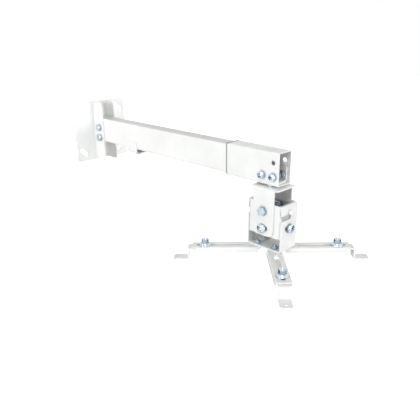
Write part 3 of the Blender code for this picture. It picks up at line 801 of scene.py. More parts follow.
@dataclass(frozen=True)
class HexBolt:
    """A hexagon bolt: chamfered head, washer face and a shank threaded at its end."""

    size: ThreadSize
    shank: float
    flats: float
    head: float
    threaded: float = 9 * MM
    washer_face: float = 0.35 * MM
    neck: float = 0.4 * MM
    point: float = 0.6 * MM

    def build(self, name: str, spot: Spot) -> bpy.types.Object:
        """Spin the bolt's profile; its head ends at the spot's high, its shank at its low.

        Args:
            name: The piece's name.
            spot: Where it stands.

        Returns:
            The finished piece.
        """
        flat, tip, slope, drop = chamfered(self.flats)
        seat, end = spot.high - self.head, spot.low
        turning = Turning(self.flats, self.size.value)
        turning.add([0.0, flat * 0.5, flat], spot.high)
        turning.add(slope, spot.high - drop, True)
        turning.add(tip, [seat + self.head * 0.5, seat + self.washer_face], True)
        turning.add([flat, flat], [seat + self.washer_face, seat])
        turning.add(self.shank / 2, seat)
        start = seat - self.neck
        if seat - end > self.threaded:
            start = max(seat - self.threaded * 0.2, end + self.threaded)
        turning.add(self.shank / 2, start)
        turning.add_thread(self.shank / 2, start, end + self.point)
        turning.add([self.shank * 0.4, 0.0], end)
        return turning.build(name, spot)


@dataclass(frozen=True)
class HexNut:
    """A hexagon nut, chamfered on both faces, with a threaded bore."""

    size: ThreadSize
    bore: float
    flats: float
    countersink: float = 0.55 * MM
    lead: float = 0.5 * MM

    def build(self, name: str, spot: Spot) -> bpy.types.Object:
        """Spin the nut's closed profile between the spot's low and high.

        Args:
            name: The piece's name.
            spot: Where it stands.

        Returns:
            The finished piece.
        """
        low, high = spot.low, spot.high
        flat, _, slope, drop = chamfered(self.flats)
        mouth = self.bore / 2 + self.countersink
        turning = Turning(self.flats, self.size.value)
        turning.add([mouth, flat], low)
        turning.add(slope, low + drop, True)
        turning.add(slope[::-1], high - drop[::-1], True)
        turning.add([flat, mouth], high)
        turning.add_thread(self.bore / 2, high - self.lead, low + self.lead, True)
        return turning.build(name, spot, True)


@dataclass(frozen=True)
class FlangeNut:
    """A hexagon nut that stands on a round, cone-edged flange."""

    size: ThreadSize
    bore: float
    flats: float
    flange: float
    edge: float
    cone: float
    countersink: float = 0.6 * MM
    step: float = 0.05 * MM
    lead: Vec2 = (0.7 * MM, 0.5 * MM)

    def build(self, name: str, spot: Spot) -> bpy.types.Object:
        """Spin the nut's closed profile from its flange to its crown and down its bore.

        The flange's edge is a half circle. From it the cone rises as sweep ** 1.2 while it
        narrows as sweep ** 0.7, with sweep from 0 to 1.

        Args:
            name: The piece's name.
            spot: Where it stands.

        Returns:
            The finished piece.
        """
        low, high = spot.low, spot.high
        flat, tip, slope, drop = chamfered(self.flats)
        angle = np.linspace(-math.pi / 2, math.pi / 2, 7)
        lip = self.edge / 2
        rim = self.flange / 2 - lip
        mouth = self.bore / 2 + self.countersink
        turning = Turning(self.flats, self.size.value)
        turning.add([mouth, rim], low)
        turning.add(rim + lip * np.cos(angle), low + lip + lip * np.sin(angle))
        sweep = np.linspace(0.0, 1.0, 6)[1:]
        turning.add(rim + (tip - rim) * sweep ** 0.7, low + self.edge + self.cone * sweep ** 1.2)
        foot = low + self.edge + self.cone + self.step
        turning.add(tip, [foot, high - drop[-1]], True)
        turning.add(slope[::-1], high - drop[::-1], True)
        turning.add([flat, mouth], high)
        turning.add_thread(self.bore / 2, high - self.lead[0], low + self.lead[1], True)
        return turning.build(name, spot, True)


@dataclass(frozen=True)
class Washer:
    """A plain round spacer with softened edges."""

    bore: float
    rim: float
    soft: float = 0.35 * MM

    def build(self, name: str, spot: Spot) -> bpy.types.Object:
        """Spin a rounded rectangle round the bore.

        Args:
            name: The piece's name.
            spot: Where it stands.

        Returns:
            The finished piece.
        """
        corner = np.linspace(0.0, math.pi / 2, 4)
        low, high, soft = spot.low, spot.high, self.soft
        wall, reach = self.bore / 2, self.rim / 2 - soft
        turning = Turning(columns=96)
        turning.add([wall, wall + soft / 2], [low + soft / 2, low])
        turning.add(reach + soft * np.sin(corner), low + soft - soft * np.cos(corner))
        turning.add(reach + soft * np.cos(corner), high - soft + soft * np.sin(corner))
        turning.add([wall + soft / 2, wall], [high, high - soft / 2])
        return turning.build(name, spot, True)


@dataclass(frozen=True)
class Stud:
    """A plain round stud with a domed end."""

    dia: float
    dome: float = 1.6 * MM
    chamfer: float = 0.5 * MM

    def build(self, name: str, spot: Spot) -> bpy.types.Object:
        """Spin the stud: its end is a quarter ellipse, half the diameter wide and dome high.

        Args:
            name: The piece's name.
            spot: Where it stands.

        Returns:
            The finished piece.
        """
        angle = np.linspace(0.0, math.pi / 2, 10)
        turning = Turning(columns=64)
        turning.add(self.dia / 2 * np.sin(angle), spot.high - self.dome + self.dome * np.cos(angle))
        turning.add(self.dia / 2, spot.low + self.chamfer)
        turning.add([self.dia * 0.44, 0.0], spot.low)
        return turning.build(name, spot)


@dataclass(frozen=True)
class PanScrew:
    """A pan-head machine screw with a cross recess.

    The head's top is z = side + dome * (1 - (r / R) ** 2.6) ** 0.5. Two crossed bars sink into
    it by depth * bar(u, v), where bar is 1 within a half width and half length and falls to 0
    over a narrow wall.
    """

    size: ThreadSize
    shank: float
    dia: float
    head: float
    turn: float = 0.5
    under: float = 0.25 * MM
    lead: Vec2 = (0.3 * MM, 0.5 * MM)
    columns: int = 96
    sharp: float = 32.0

    def recess(self, radius: np.ndarray, angle: np.ndarray) -> np.ndarray:
        """How deep the cross is at each point: head * (0.58 - 0.3 * (r / reach) ** 2) * bar(u, v).

        Args:
            radius: Distances from the screw's axis.
            angle: Angles round it.

        Returns:
            The depths, 0 beside the recess.
        """
        u = radius * np.cos(angle - self.turn)
        v = radius * np.sin(angle - self.turn)
        reach, half, wall = 0.235 * self.dia, 0.062 * self.dia, 0.03 * self.dia

        def bar(along: np.ndarray, side: np.ndarray) -> np.ndarray:
            """One bar of the cross: 1 inside, 0 outside, a ramp between.

            Args:
                along: Distance along the bar.
                side: Distance across it.

            Returns:
                A share from 0 to 1.
            """
            ends = np.clip((reach - np.abs(along)) / wall + 0.5, 0.0, 1.0)
            width = half * (1.15 - 0.3 * np.abs(along) / reach)
            return ends * np.clip((width - np.abs(side)) / wall + 0.5, 0.0, 1.0)

        cross = np.maximum(bar(u, v), bar(v, u))
        return cross * self.head * (0.58 - 0.3 * (radius / reach) ** 2)

    def build(self, name: str, spot: Spot) -> bpy.types.Object:
        """Lay the head's height field on rings, then add its side, seat and shank as rows.

        Args:
            name: The piece's name.
            spot: Where it stands.

        Returns:
            The finished piece.
        """
        rim, seat = self.dia / 2, spot.high - self.head
        inner = np.linspace(0.0, 0.28 * self.dia, 26)
        outer = rim * np.sin(np.linspace(math.asin(0.56), math.pi / 2, 14))[1:]
        radius = np.concatenate([inner, outer])[:, None]
        angle = np.linspace(0.0, math.tau, self.columns, endpoint=False)[None, :]
        side = 0.52 * self.head
        dome = (self.head - side) * np.sqrt(np.clip(1 - (radius / rim) ** 2.6, 0.0, 1.0))
        sunk = np.where(radius < 0.3 * self.dia, self.recess(radius, angle), 0.0)
        top = (*np.broadcast_arrays(radius, angle, sunk)[:2], seat + side + dome - sunk)
        shank = Turning(thread=self.size.value, columns=self.columns)
        shank.add([rim, rim - self.under, self.shank / 2], [seat + self.under, seat, seat])
        shank.add_thread(self.shank / 2, seat - self.lead[0], spot.low + self.lead[1])
        shank.add([self.shank * 0.4, 0.0], spot.low)
        grids = [np.concatenate(pair) for pair in zip(top, shank.surface())]
        points = spot.points(*grids).reshape(-1, 3)
        faces = grid_faces(len(grids[0]), self.columns, False, True)
        return closed_object(name, mesh_from(name, points, [faces]), self.sharp)


Fastener = HexBolt | HexNut | FlangeNut | Washer | PanScrew


# Finishes


class Wiring:
    """Adds shader nodes to one tree and joins them."""

    def __init__(self, tree: bpy.types.NodeTree) -> None:
        """Keep the tree to work on."""
        self.tree = tree

    def add(self, kind: str, **settings: object) -> bpy.types.Node:
        """A new node of a kind, with its own settings.

        Args:
            kind: The node's Blender type name.
            **settings: Attributes to set on it.

        Returns:
            The node.
        """
        node = self.tree.nodes.new(kind)
        for key, value in settings.items():
            setattr(node, key, value)
        return node

    def join(self, source: object, target: object) -> None:
        """Join a socket, or set its value where the source is a number or a colour.

        Args:
            source: A socket or a plain value.
            target: The input socket.
        """
        if isinstance(source, bpy.types.NodeSocket):
            self.tree.links.new(source, target)
        else:
            target.default_value = source

    def feed(self, node: bpy.types.Node, values: dict[str, object]) -> None:
        """Join or set several of a node's inputs by name."""
        for label, value in values.items():
            self.join(value, node.inputs[label])

    def group(self, tree: bpy.types.NodeTree, values: dict[str, object]) -> object:
        """The output of a shared effect, placed here with its own values.

        Args:
            tree: The effect's node group.
            values: Its inputs by name.

        Returns:
            The output socket.
        """
        node = self.add("ShaderNodeGroup", node_tree=tree)
        self.feed(node, values)
        return node.outputs[0]

    def place(self, kind: str = "Object") -> object:
        """A texture coordinate's output: the object's own place or normal."""
        return self.add("ShaderNodeTexCoord").outputs[kind]

    def math(self, operation: str, first: object, second: object = 0.0, clamp: bool = False) -> object:
        """The output of a Math node.

        Args:
            operation: Blender's name of it.
            first: Socket or number.
            second: Socket or number.
            clamp: Whether the result is kept from 0 to 1.

        Returns:
            The output socket.
        """
        node = self.add("ShaderNodeMath", operation=operation, use_clamp=clamp)
        self.join(first, node.inputs[0])
        self.join(second, node.inputs[1])
        return node.outputs[0]

    def vector(self, operation: str, first: object, second: object = (0.0, 0.0, 0.0)) -> object:
        """The output of a Vector Math node, a number for a length or a dot product.

        Args:
            operation: Blender's name of it.
            first: Socket or vector.
            second: Socket or vector.

        Returns:
            The output socket.
        """
        node = self.add("ShaderNodeVectorMath", operation=operation)
        self.join(first, node.inputs[0])
        self.join(second, node.inputs[1])
        return node.outputs["Value" if operation in ("LENGTH", "DOT_PRODUCT") else "Vector"]

    def parts(self, vector: object) -> tuple[object, object, object]:
        """The X, Y and Z outputs of a vector.

        Args:
            vector: A vector socket.

        Returns:
            Three output sockets.
        """
        node = self.add("ShaderNodeSeparateXYZ")
        self.join(vector, node.inputs[0])
        return tuple(node.outputs)

    def ramp(self, value: object, low: float, high: float, start: float, end: float) -> object:
        """A value mapped in a straight line from low..high to start..end, and clamped.

        Args:
            value: Socket to map.
            low: Where the line starts.
            high: Where it ends.
            start: The value up to low.
            end: The value from high on.

        Returns:
            The output socket.
        """
        node = self.add("ShaderNodeMapRange")
        for socket, number in zip(node.inputs[1:5], (low, high, start, end)):
            socket.default_value = number
        self.join(value, node.inputs[0])
        return node.outputs[0]

    def noise(self, vector: object, scale: object, detail: float, rough: float) -> object:
        """The value output of a Noise texture.

        Args:
            vector: Place on the piece.
            scale: Cells in a metre.
            detail: Octaves.
            rough: Share of each finer octave.

        Returns:
            The output socket.
        """
        node = self.add("ShaderNodeTexNoise")
        self.feed(node, {"Vector": vector, "Scale": scale, "Detail": detail, "Roughness": rough})
        return node.outputs[0]

    def mix(self, share: object, first: object, second: object) -> object:
        """The colour output of a Mix node between two colours.

        Args:
            share: Socket that says how much of the second.
            first: Colour or socket.
            second: Colour or socket.

        Returns:
            The output socket.
        """
        node = self.add("ShaderNodeMix", data_type="RGBA")
        for number, value in ((0, share), (6, first), (7, second)):
            self.join(value, node.inputs[number])
        return node.outputs[2]

    def bump(self, height: object, strength: float, depth: float) -> object:
        """The normal that a Bump node makes of a height.

        Args:
            height: Socket of the height.
            strength: From 0 to 1.
            depth: Height of a full step, in metres.

        Returns:
            The output socket.
        """
        node = self.add("ShaderNodeBump")
        self.feed(node, {"Strength": strength, "Distance": depth, "Height": height})
        return node.outputs[0]


def node_material(name: str) -> tuple[bpy.types.Material, Wiring, bpy.types.Node]:
    """A new material with its wiring and its Principled shader.

    Args:
        name: The material's name.

    Returns:
        The material, its wiring and its shader node.
    """
    material = bpy.data.materials.new(name)
    material.use_nodes = True
    return material, Wiring(material.node_tree), material.node_tree.nodes["Principled BSDF"]


def solid(colour: Vec3) -> tuple[float, float, float, float]:
    """A colour with full alpha."""
    return (*colour, 1.0)


SCALAR, VECTOR = "NodeSocketFloat", "NodeSocketVector"


class Effects:
    """Node groups that several finishes share, each built once."""

    def __init__(self) -> None:
        """Build the groups."""
        self.peel = self._peel()
        self.drift = self._drift()
        self.ring = self._ring()
        self.streaks = self._streaks()
        self.band = self._band()
        self.sides = self._sides()
        self.upward = self._upward()

    @staticmethod
    def _group(name: str, output: str, inputs: dict[str, object]) -> tuple[Wiring, object, object]:
        """An empty group with its sockets.

        Args:
            name: The group's name.
            output: The name of its one output, a number.
            inputs: Each input's name and default, a number or a vector.

        Returns:
            Its wiring, its input node's sockets and the socket to feed.
        """
        tree = bpy.data.node_groups.new(name, "ShaderNodeTree")
        for label, default in inputs.items():
            kind = VECTOR if isinstance(default, tuple) else SCALAR
            tree.interface.new_socket(label, in_out="INPUT", socket_type=kind).default_value = default
        tree.interface.new_socket(output, in_out="OUTPUT", socket_type=SCALAR)
        wiring = Wiring(tree)
        return wiring, wiring.add("NodeGroupInput").outputs, wiring.add("NodeGroupOutput").inputs[output]

    def _peel(self) -> bpy.types.NodeTree:
        """Orange peel of a sprayed coat: broad soft cells with a finer grain on them.

        Returns:
            The node group.
        """
        wiring, given, out = self._group(
            "orange_peel", "Height", {"Vector": (0, 0, 0), "Cells": 900.0, "Grain": 3200.0})
        broad = wiring.noise(given["Vector"], given["Cells"], 1.0, 0.4)
        fine = wiring.noise(given["Vector"], given["Grain"], 2.0, 0.5)
        broad, fine = wiring.math("MULTIPLY", broad, 0.75), wiring.math("MULTIPLY", fine, 0.25)
        wiring.join(wiring.math("ADD", broad, fine), out)
        return wiring.tree

    def _drift(self) -> bpy.types.NodeTree:
        """Slow change over a whole piece, as film thickness and handling leave it.

        Returns:
            The node group.
        """
        wiring, given, out = self._group("slow_drift", "Value", {"Vector": (0, 0, 0), "Scale": 24.0})
        wide = wiring.noise(given["Vector"], given["Scale"], 3.0, 0.55)
        wiring.join(wiring.ramp(wide, 0.3, 0.7, 0.0, 1.0), out)
        return wiring.tree

    @staticmethod
    def _between(wiring: Wiring, value: object, low: object, high: object, fade: object) -> object:
        """1 where a value lies between two others, fading out past the edges inside them.

        Args:
            wiring: The group's wiring.
            value: Socket to test.
            low: Lower edge.
            high: Upper edge.
            fade: How wide each edge fades.

        Returns:
            The mask's socket.
        """
        rise = wiring.math("DIVIDE", wiring.math("SUBTRACT", value, low), fade, True)
        fall = wiring.math("DIVIDE", wiring.math("SUBTRACT", high, value), fade, True)
        return wiring.math("MULTIPLY", rise, fall)

    def _ring(self) -> bpy.types.NodeTree:
        """A soft ring round an axis: 1 between two radii, fading out on both sides.

        Returns:
            The node group.
        """
        wiring, given, out = self._group("press_or_shade_ring", "Mask", {
            "Vector": (0, 0, 0), "Centre": (0, 0, 0), "Plane": (1, 1, 1),
            "Inner": 0.006, "Outer": 0.009, "Fade": 0.0008})
        away = wiring.vector("SUBTRACT", given["Vector"], given["Centre"])
        reach = wiring.vector("LENGTH", wiring.vector("MULTIPLY", away, given["Plane"]))
        wiring.join(self._between(wiring, reach, given["Inner"], given["Outer"], given["Fade"]), out)
        return wiring.tree

    def _streaks(self) -> bpy.types.NodeTree:
        """Fine drawn or tooled lines: noise stretched along one direction.

        Returns:
            The node group.
        """
        wiring, given, out = self._group(
            "fine_streaks", "Value", {"Vector": (0, 0, 0), "Stretch": (1, 1, 1), "Scale": 1500.0})
        long = wiring.vector("MULTIPLY", given["Vector"], given["Stretch"])
        wiring.join(wiring.noise(long, given["Scale"], 2.0, 0.6), out)
        return wiring.tree

    def _band(self) -> bpy.types.NodeTree:
        """A band across the X axis: 1 between two distances, fading out on both sides; it places painted
        shade.

        Returns:
            The node group.
        """
        wiring, given, out = self._group(
            "painted_shade_band", "Mask", {"Vector": (0, 0, 0), "From": 0.0, "To": 0.003, "Fade": 0.0005})
        along = wiring.parts(given["Vector"])[0]
        wiring.join(self._between(wiring, along, given["From"], given["To"], given["Fade"]), out)
        return wiring.tree

    def _sides(self) -> bpy.types.NodeTree:
        """1 where a surface runs along an axis, 0 where it faces along it.

        Returns:
            The node group.
        """
        wiring, given, out = self._group(
            "sides_of_axis", "Mask", {"Normal": (0, 0, 1), "Axis": (0, 0, 1)})
        facing = wiring.math("ABSOLUTE", wiring.vector("DOT_PRODUCT", given["Normal"], given["Axis"]))
        wiring.join(wiring.ramp(facing, 0.12, 0.5, 1.0, 0.0), out)
        return wiring.tree

    def _upward(self) -> bpy.types.NodeTree:
        """1 on faces that look up and 0 on all others; it places painted shade on tops.

        Returns:
            The node group.
        """
        wiring, given, out = self._group("looks_up", "Mask", {"Normal": (0, 0, 1)})
        wiring.join(wiring.ramp(wiring.parts(given["Normal"])[2], 0.6, 0.95, 0.0, 1.0), out)
        return wiring.tree


@dataclass(frozen=True)
class PressOrShadeMark:
    """A faint ring in the coat round an axis: the mark that a fastener's seat leaves, or painted shade.
    """

    centre: Vec3
    way: Way
    inner: float
    outer: float
    share: float = 0.55


@dataclass(frozen=True)
class PowderCoat:
    """Satin white powder coat on steel."""

    colour: Vec3 = (0.806, 0.815, 0.802)
    thin: Vec3 = (0.742, 0.753, 0.738)
    # colour of press marks round fasteners, and of painted shade rings
    pressed_or_shaded: Vec3 = (0.42, 0.44, 0.46)
    # colour of painted shade on faces that look up
    top_shade_colour: Vec3 = (0.40, 0.40, 0.385)
    # colour of a painted shadow line at a step's edge
    edge_shade_colour: Vec3 = (0.23, 0.24, 0.25)
    roughness: float = 0.34
    pressed_dull: float = 0.33
    peel: float = 0.35
    peel_depth: float = 0.02 * MM
    # painted shade band: start and end along X, and how much wider it runs on faces that look up
    painted_edge_shade: Vec3 | None = None
    # how much painted shade darkens faces that look up
    top_shade: float = 0.0

    def material(self, name: str, effects: Effects, marks: list[PressOrShadeMark]) -> bpy.types.Material:
        """The coat as a material.

        Args:
            name: The material's name.
            effects: The shared node groups.
            marks: Marks that fasteners leave in this piece's coat, and rings of painted shade.

        Returns:
            The material.
        """
        material, wiring, shader = node_material(name)
        place = wiring.place()
        drift = wiring.group(effects.drift, {"Vector": place})
        colour = wiring.mix(drift, solid(self.thin), solid(self.colour))
        rough = wiring.ramp(drift, 0.0, 1.0, self.roughness + 0.07, self.roughness - 0.03)
        if marks:
            mask = self._marks(wiring, effects, place, marks)
            colour = wiring.mix(mask, colour, solid(self.pressed_or_shaded))
            rough = wiring.math("ADD", rough, wiring.math("MULTIPLY", mask, self.pressed_dull))
        # painted shade: faces that look up are darkened towards a grey
        upward = wiring.group(effects.upward, {"Normal": wiring.place("Normal")})
        colour = wiring.mix(wiring.math("MULTIPLY", upward, self.top_shade), colour, solid(self.top_shade_colour))
        # painted shadow: a dark band across X at a step's edge, wider on faces that look up
        if self.painted_edge_shade is not None:
            start, end, further = self.painted_edge_shade
            end = wiring.math("ADD", end, wiring.math("MULTIPLY", upward, further))
            band = wiring.group(effects.band, {"Vector": place, "From": start, "To": end})
            colour = wiring.mix(band, colour, solid(self.edge_shade_colour))
        peel = wiring.bump(wiring.group(effects.peel, {"Vector": place}), self.peel, self.peel_depth)
        wiring.feed(shader, {
            "Base Color": colour, "Roughness": rough, "Normal": peel,
            "Specular IOR Level": 0.45, "Coat Weight": 0.12, "Coat Roughness": 0.2})
        material.diffuse_color = solid(self.colour)
        return material

    @staticmethod
    def _marks(wiring: Wiring, effects: Effects, place: object, marks: list[PressOrShadeMark]) -> object:
        """The strongest of all press marks and painted shade rings at each point.

        Args:
            wiring: The material's wiring.
            effects: The shared node groups.
            place: Socket of the object's own place.
            marks: The marks.

        Returns:
            The mask's socket.
        """
        total = 0.0
        for mark in marks:
            plane = tuple(1.0 - abs(part) for part in mark.way.value)
            ring = wiring.group(effects.ring, {"Vector": place, "Centre": mark.centre, "Plane": plane,
                                               "Inner": mark.inner, "Outer": mark.outer})
            total = wiring.math("MAXIMUM", total, wiring.math("MULTIPLY", ring, mark.share))
        return total


# How much painted shade darkens a fastener's sides against its faces, by its axis
SHADED_SIDES = {Way.PLUS_X: 0.7, Way.PLUS_Y: 0.5, Way.PLUS_Z: 0.35}


@dataclass(frozen=True)
class ZincPlate:
    """Bright zinc with a bluish passivation that shifts a little over each piece."""

    blue: Vec3 = (0.50, 0.62, 0.72)
    pale: Vec3 = (0.80, 0.91, 0.94)
    tint: Vec3 = (0.66, 0.66, 0.84)
    # dark blue of the painted shade on the fasteners' sides
    side_shade_colour: Vec3 = (0.11, 0.13, 0.19)
    tinted: float = 0.35
    quick_cells: float = 170.0
    slow_cells: float = 60.0
    drawn: float = 0.8
    roughness: float = 0.16
    lines: float = 0.25
    line_depth: float = 0.01 * MM

    def material(self, name: str, effects: Effects, way: Way) -> bpy.types.Material:
        """The plate as a material.

        Args:
            name: The material's name.
            effects: The shared node groups.
            way: The fasteners' axis; fine lines run along it, and sides along it get painted shade.

        Returns:
            The material.
        """
        material, wiring, shader = node_material(name)
        place = wiring.place()
        quick = wiring.group(effects.drift, {"Vector": place, "Scale": self.quick_cells})
        slow = wiring.group(effects.drift, {"Vector": place, "Scale": self.slow_cells})
        colour = wiring.mix(quick, solid(self.blue), solid(self.pale))
        colour = wiring.mix(wiring.math("MULTIPLY", slow, self.tinted), colour, solid(self.tint))
        # painted shade and reflection: sides that run along the axis are mixed towards dark blue
        sides = wiring.group(effects.sides, {"Normal": wiring.place("Normal"), "Axis": way.value})
        colour = wiring.mix(wiring.math("MULTIPLY", sides, SHADED_SIDES[way]), colour, solid(self.side_shade_colour))
        stretch = tuple(1.0 - self.drawn * part for part in way.value)
        lines = wiring.group(effects.streaks, {"Vector": place, "Stretch": stretch})
        rough = wiring.ramp(lines, 0.2, 0.8, self.roughness - 0.07, self.roughness + 0.1)
        wiring.feed(shader, {"Base Color": colour, "Roughness": rough, "Metallic": 1.0,
                             "Normal": wiring.bump(lines, self.lines, self.line_depth)})
        material.diffuse_color = solid(self.pale)
        return material


class Workshop:
    """Makes fasteners, dresses finished pieces and hands them to the frame."""

    def __init__(self) -> None:
        """Build the shared effects and look up which body carries each node."""
        self.effects = Effects()
        groups = frame["record"]["behaviour"]["bodies"]
        self.carrier = {node: body for body, nodes in groups.items() for node in nodes}
        self.zinc = {way: ZincPlate().material("zinc_" + way.name.lower(), self.effects, way)
                     for way in SHADED_SIDES}
        self.count = 0

    def deliver(self, piece: bpy.types.Object, node: str, material: bpy.types.Material,
                finish: Finish) -> None:
        """Dress a piece and let it stand for its CAD node.

        Args:
            piece: The finished mesh object.
            node: The CAD node that it stands for.
            material: Its material.
            finish: The record's slot that it belongs to; not used.
        """
        piece.data.materials.clear()
        piece.data.materials.append(material)
        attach(piece, self.carrier[node])
        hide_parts(node)
        self.count += 1
        LOG.info("%s rides on %s: %d faces", piece.name, self.carrier[node], len(piece.data.polygons))

    def coat(self, piece: bpy.types.Object, node: str, marks: list[PressOrShadeMark] | None = None,
             coat: PowderCoat = PowderCoat()) -> None:
        """Powder-coat a piece, with the marks that its fasteners leave and any rings of painted shade.
        """
        material = coat.material("powder_" + piece.name, self.effects, marks or [])
        self.deliver(piece, node, material, Finish.POWDER)

    def fasten(self, form: Fastener, node: str, way: Way) -> None:
        """Make a fastener in its CAD node's place and zinc-plate it.

        Args:
            form: The fastener's form.
            node: The CAD node that it stands for.
            way: Where its head or crown points.
        """
        piece = form.build(node + "_turned", Spot.of_node(node, way))
        axis = Way(tuple(abs(part) for part in way.value))
        self.deliver(piece, node, self.zinc[axis], Finish.ZINC)


# Sub-assemblies

M8_HOLE, M6_HOLE = 8.6 * MM, 6.6 * MM
M8_BOLT = HexBolt(ThreadSize.M8, shank=8 * MM, flats=13 * MM, head=5.3 * MM)
M6_BOLT = HexBolt(ThreadSize.M6, shank=6 * MM, flats=10 * MM, head=4 * MM, threaded=7 * MM)
M8_NUT = HexNut(ThreadSize.M8, bore=8.4 * MM, flats=13 * MM)
M6_NUT = HexNut(ThreadSize.M6, bore=6.4 * MM, flats=10 * MM)
FLANGE_NUT = FlangeNut(ThreadSize.M6, bore=6.4 * MM, flats=10 * MM, flange=18.5 * MM,
                       edge=1.2 * MM, cone=1.8 * MM)
SPACER = Washer(bore=8.6 * MM, rim=24 * MM)
LOCK_SCREW = PanScrew(ThreadSize.M6, shank=6 * MM, dia=14.5 * MM, head=6 * MM, turn=0.6)
SADDLE_SCREWS = {end: PanScrew(ThreadSize.M6, shank=6 * MM, dia=12 * MM, head=6 * MM, turn=turn)
                 for end, turn in (("in", 0.35), ("out", 1.0))}
SIDES = {"left": (-1, Way.MINUS_Y), "right": (1, Way.PLUS_Y)}
ENDS = {"in": (-1, Way.MINUS_X), "out": (1, Way.PLUS_X)}

# Places that two sub-assemblies share
ARM_BOLT_X, ARM_BOLT_LEVELS = 21 * MM, (4 * MM, -16 * MM)
HEAD_X, PIVOT_LEVEL = 449 * MM, -62.8 * MM
ROLL_RADIUS = 25.5 * MM
LEG_X, LEG_Y = 16.512 * MM, 13 * MM

# A fastener's mark in the coat: its inner and outer radius
LOCK_MARK = (6.4 * MM, 8.0 * MM)


def back(way: Way) -> Way:
    """The opposite way."""
    return Way(tuple(-part if part else 0.0 for part in way.value))


def u_fold(side: float, rim: float, floor: float, inner: float, thick: float) -> Fold:
    """A sheet bent twice into a U.

    Args:
        side: From the middle to each upright's middle line; negative to draw it from the right.
        rim: The level where the uprights end.
        floor: The level of the floor's middle line.
        inner: Bend radius inside.
        thick: Thickness of the sheet.

    Returns:
        The fold.
    """
    return Fold([(-side, rim), (-side, floor), (side, floor), (side, rim)], inner + thick / 2)


@dataclass
class WallBracket:
    """Back plate with slanted slots, the two cheeks welded to it and the arm's bolts."""

    width: float = 120 * MM
    height: float = 118 * MM
    thick: float = 3 * MM
    drop: float = 4 * MM
    corner: float = 6 * MM
    slot_side: float = 44.5 * MM
    slot_rise: float = 41.5 * MM
    slot_length: float = 22.5 * MM
    slot_width: float = 8.5 * MM
    cheek_inner: float = 13.0 * MM
    cheek_thick: float = 2.5 * MM
    cheek_reach: float = 33 * MM
    cheek_corner: float = 8 * MM
    cheek_sunk: float = 0.2 * MM
    bolt_mark: Vec2 = (6.2 * MM, 8.2 * MM)
    bead: float = 1.5 * MM
    bead_length: float = 30 * MM
    bead_middles: Vec3 = (38 * MM, -4 * MM, -46 * MM)
    bead_wave: float = 1.1 * MM

    @property
    def levels(self) -> Vec2:
        """The bottom and the top of the plate and its cheeks."""
        return -self.height / 2 - self.drop, self.height / 2 - self.drop

    def plate(self) -> bpy.types.Object:
        """The back plate: a flat blank with four slots at 45 degrees.

        Returns:
            The finished piece.
        """
        half = self.width / 2
        bottom, top = self.levels
        slots = [slot_loop((half + side * self.slot_side, level * self.slot_rise - self.drop),
                           self.slot_length, self.slot_width, -math.pi / 4 * side * level)
                 for side in (-1, 1) for level in (-1, 1)]
        fold = Fold([(-half, self.thick / 2), (half, self.thick / 2)])
        stand = Stand((0, 0, 0), (0, 1, 0), (1, 0, 0), (0, 0, 1))
        outline = box_loop((0, bottom), (self.width, top), self.corner)
        return Sheet("wall_plate_back", fold, stand, self.thick, outline, slots).build()

    def cheek(self, label: str) -> bpy.types.Object:
        """One cheek: a flat blank that stands on the plate.

        Args:
            label: left or right.

        Returns:
            The finished piece.
        """
        side = SIDES[label][0]
        middle = side * (self.cheek_inner + self.cheek_thick / 2)
        bottom, top = self.levels
        start = self.thick - self.cheek_sunk
        reach, corner = self.cheek_reach - start, self.cheek_corner
        outline = corner_loop([(0, bottom, 0), (reach, bottom, corner),
                               (reach, top, corner), (0, top, 0)])
        holes = [circle_loop((ARM_BOLT_X - start, level), M8_HOLE) for level in ARM_BOLT_LEVELS]
        fold = Fold([(start, middle), (self.cheek_reach, middle)])
        stand = Stand((0, 0, 0), (1, 0, 0), (0, 1, 0), (0, 0, 1))
        return Sheet("wall_plate_cheek_" + label, fold, stand, self.cheek_thick, outline, holes).build()

    def weld(self, label: str) -> bpy.types.Object:
        """The beads along a cheek, three on each of its faces.

        Each is a round bar in the corner with the radius bead * (1 - u ** 6) ** 0.5 * (1 + wave),
        where u runs from -1 to 1 along it and the wave is 0.07 * cos(pi * distance / bead_wave).

        Args:
            label: left or right.

        Returns:
            All beads of the cheek as one piece.
        """
        side = SIDES[label][0]
        rows, columns = 61, 20
        along = np.linspace(-1.0, 1.0, rows)[:, None]
        angle = np.linspace(0.0, math.tau, columns, endpoint=False)[None, :]
        distance = along * self.bead_length / 2
        wave = 0.07 * np.cos(distance / self.bead_wave * math.pi)
        radius = self.bead * np.sqrt(np.clip(1 - along ** 6, 0.0, 1.0)) * (1 + wave)
        quads = grid_faces(rows, columns, False, True)
        points, faces = [], []
        for face in (self.cheek_inner, self.cheek_inner + self.cheek_thick):
            for middle in self.bead_middles:
                x = self.thick + radius * np.cos(angle)
                y = side * face + radius * np.sin(angle)
                z = np.broadcast_to(middle + distance, x.shape)
                faces.append(quads + len(points) * rows * columns)
                points.append(np.stack([x, y, z], axis=2).reshape(-1, 3))
        form = mesh_from("weld", np.concatenate(points), faces)
        return closed_object("wall_plate_weld_" + label, form)

    def build(self, shop: Workshop) -> None:
        """Make and dress the bracket's pieces.

        Args:
            shop: The workshop that dresses the pieces and hands them over.
        """
        shop.coat(self.plate(), "wall_plate")
        for label, (side, way) in SIDES.items():
            outer = side * (self.cheek_inner + self.cheek_thick)
            marks = [PressOrShadeMark((ARM_BOLT_X, outer, level), way, *self.bolt_mark)
                     for level in ARM_BOLT_LEVELS]
            shop.coat(self.cheek(label), "wall_plate", marks)
            shop.coat(self.weld(label), "wall_plate")
        for label in ("upper", "lower"):
            shop.fasten(M8_BOLT, "arm_bolt_" + label, Way.MINUS_Y)
            shop.fasten(M8_NUT, "arm_nut_" + label, Way.PLUS_Y)


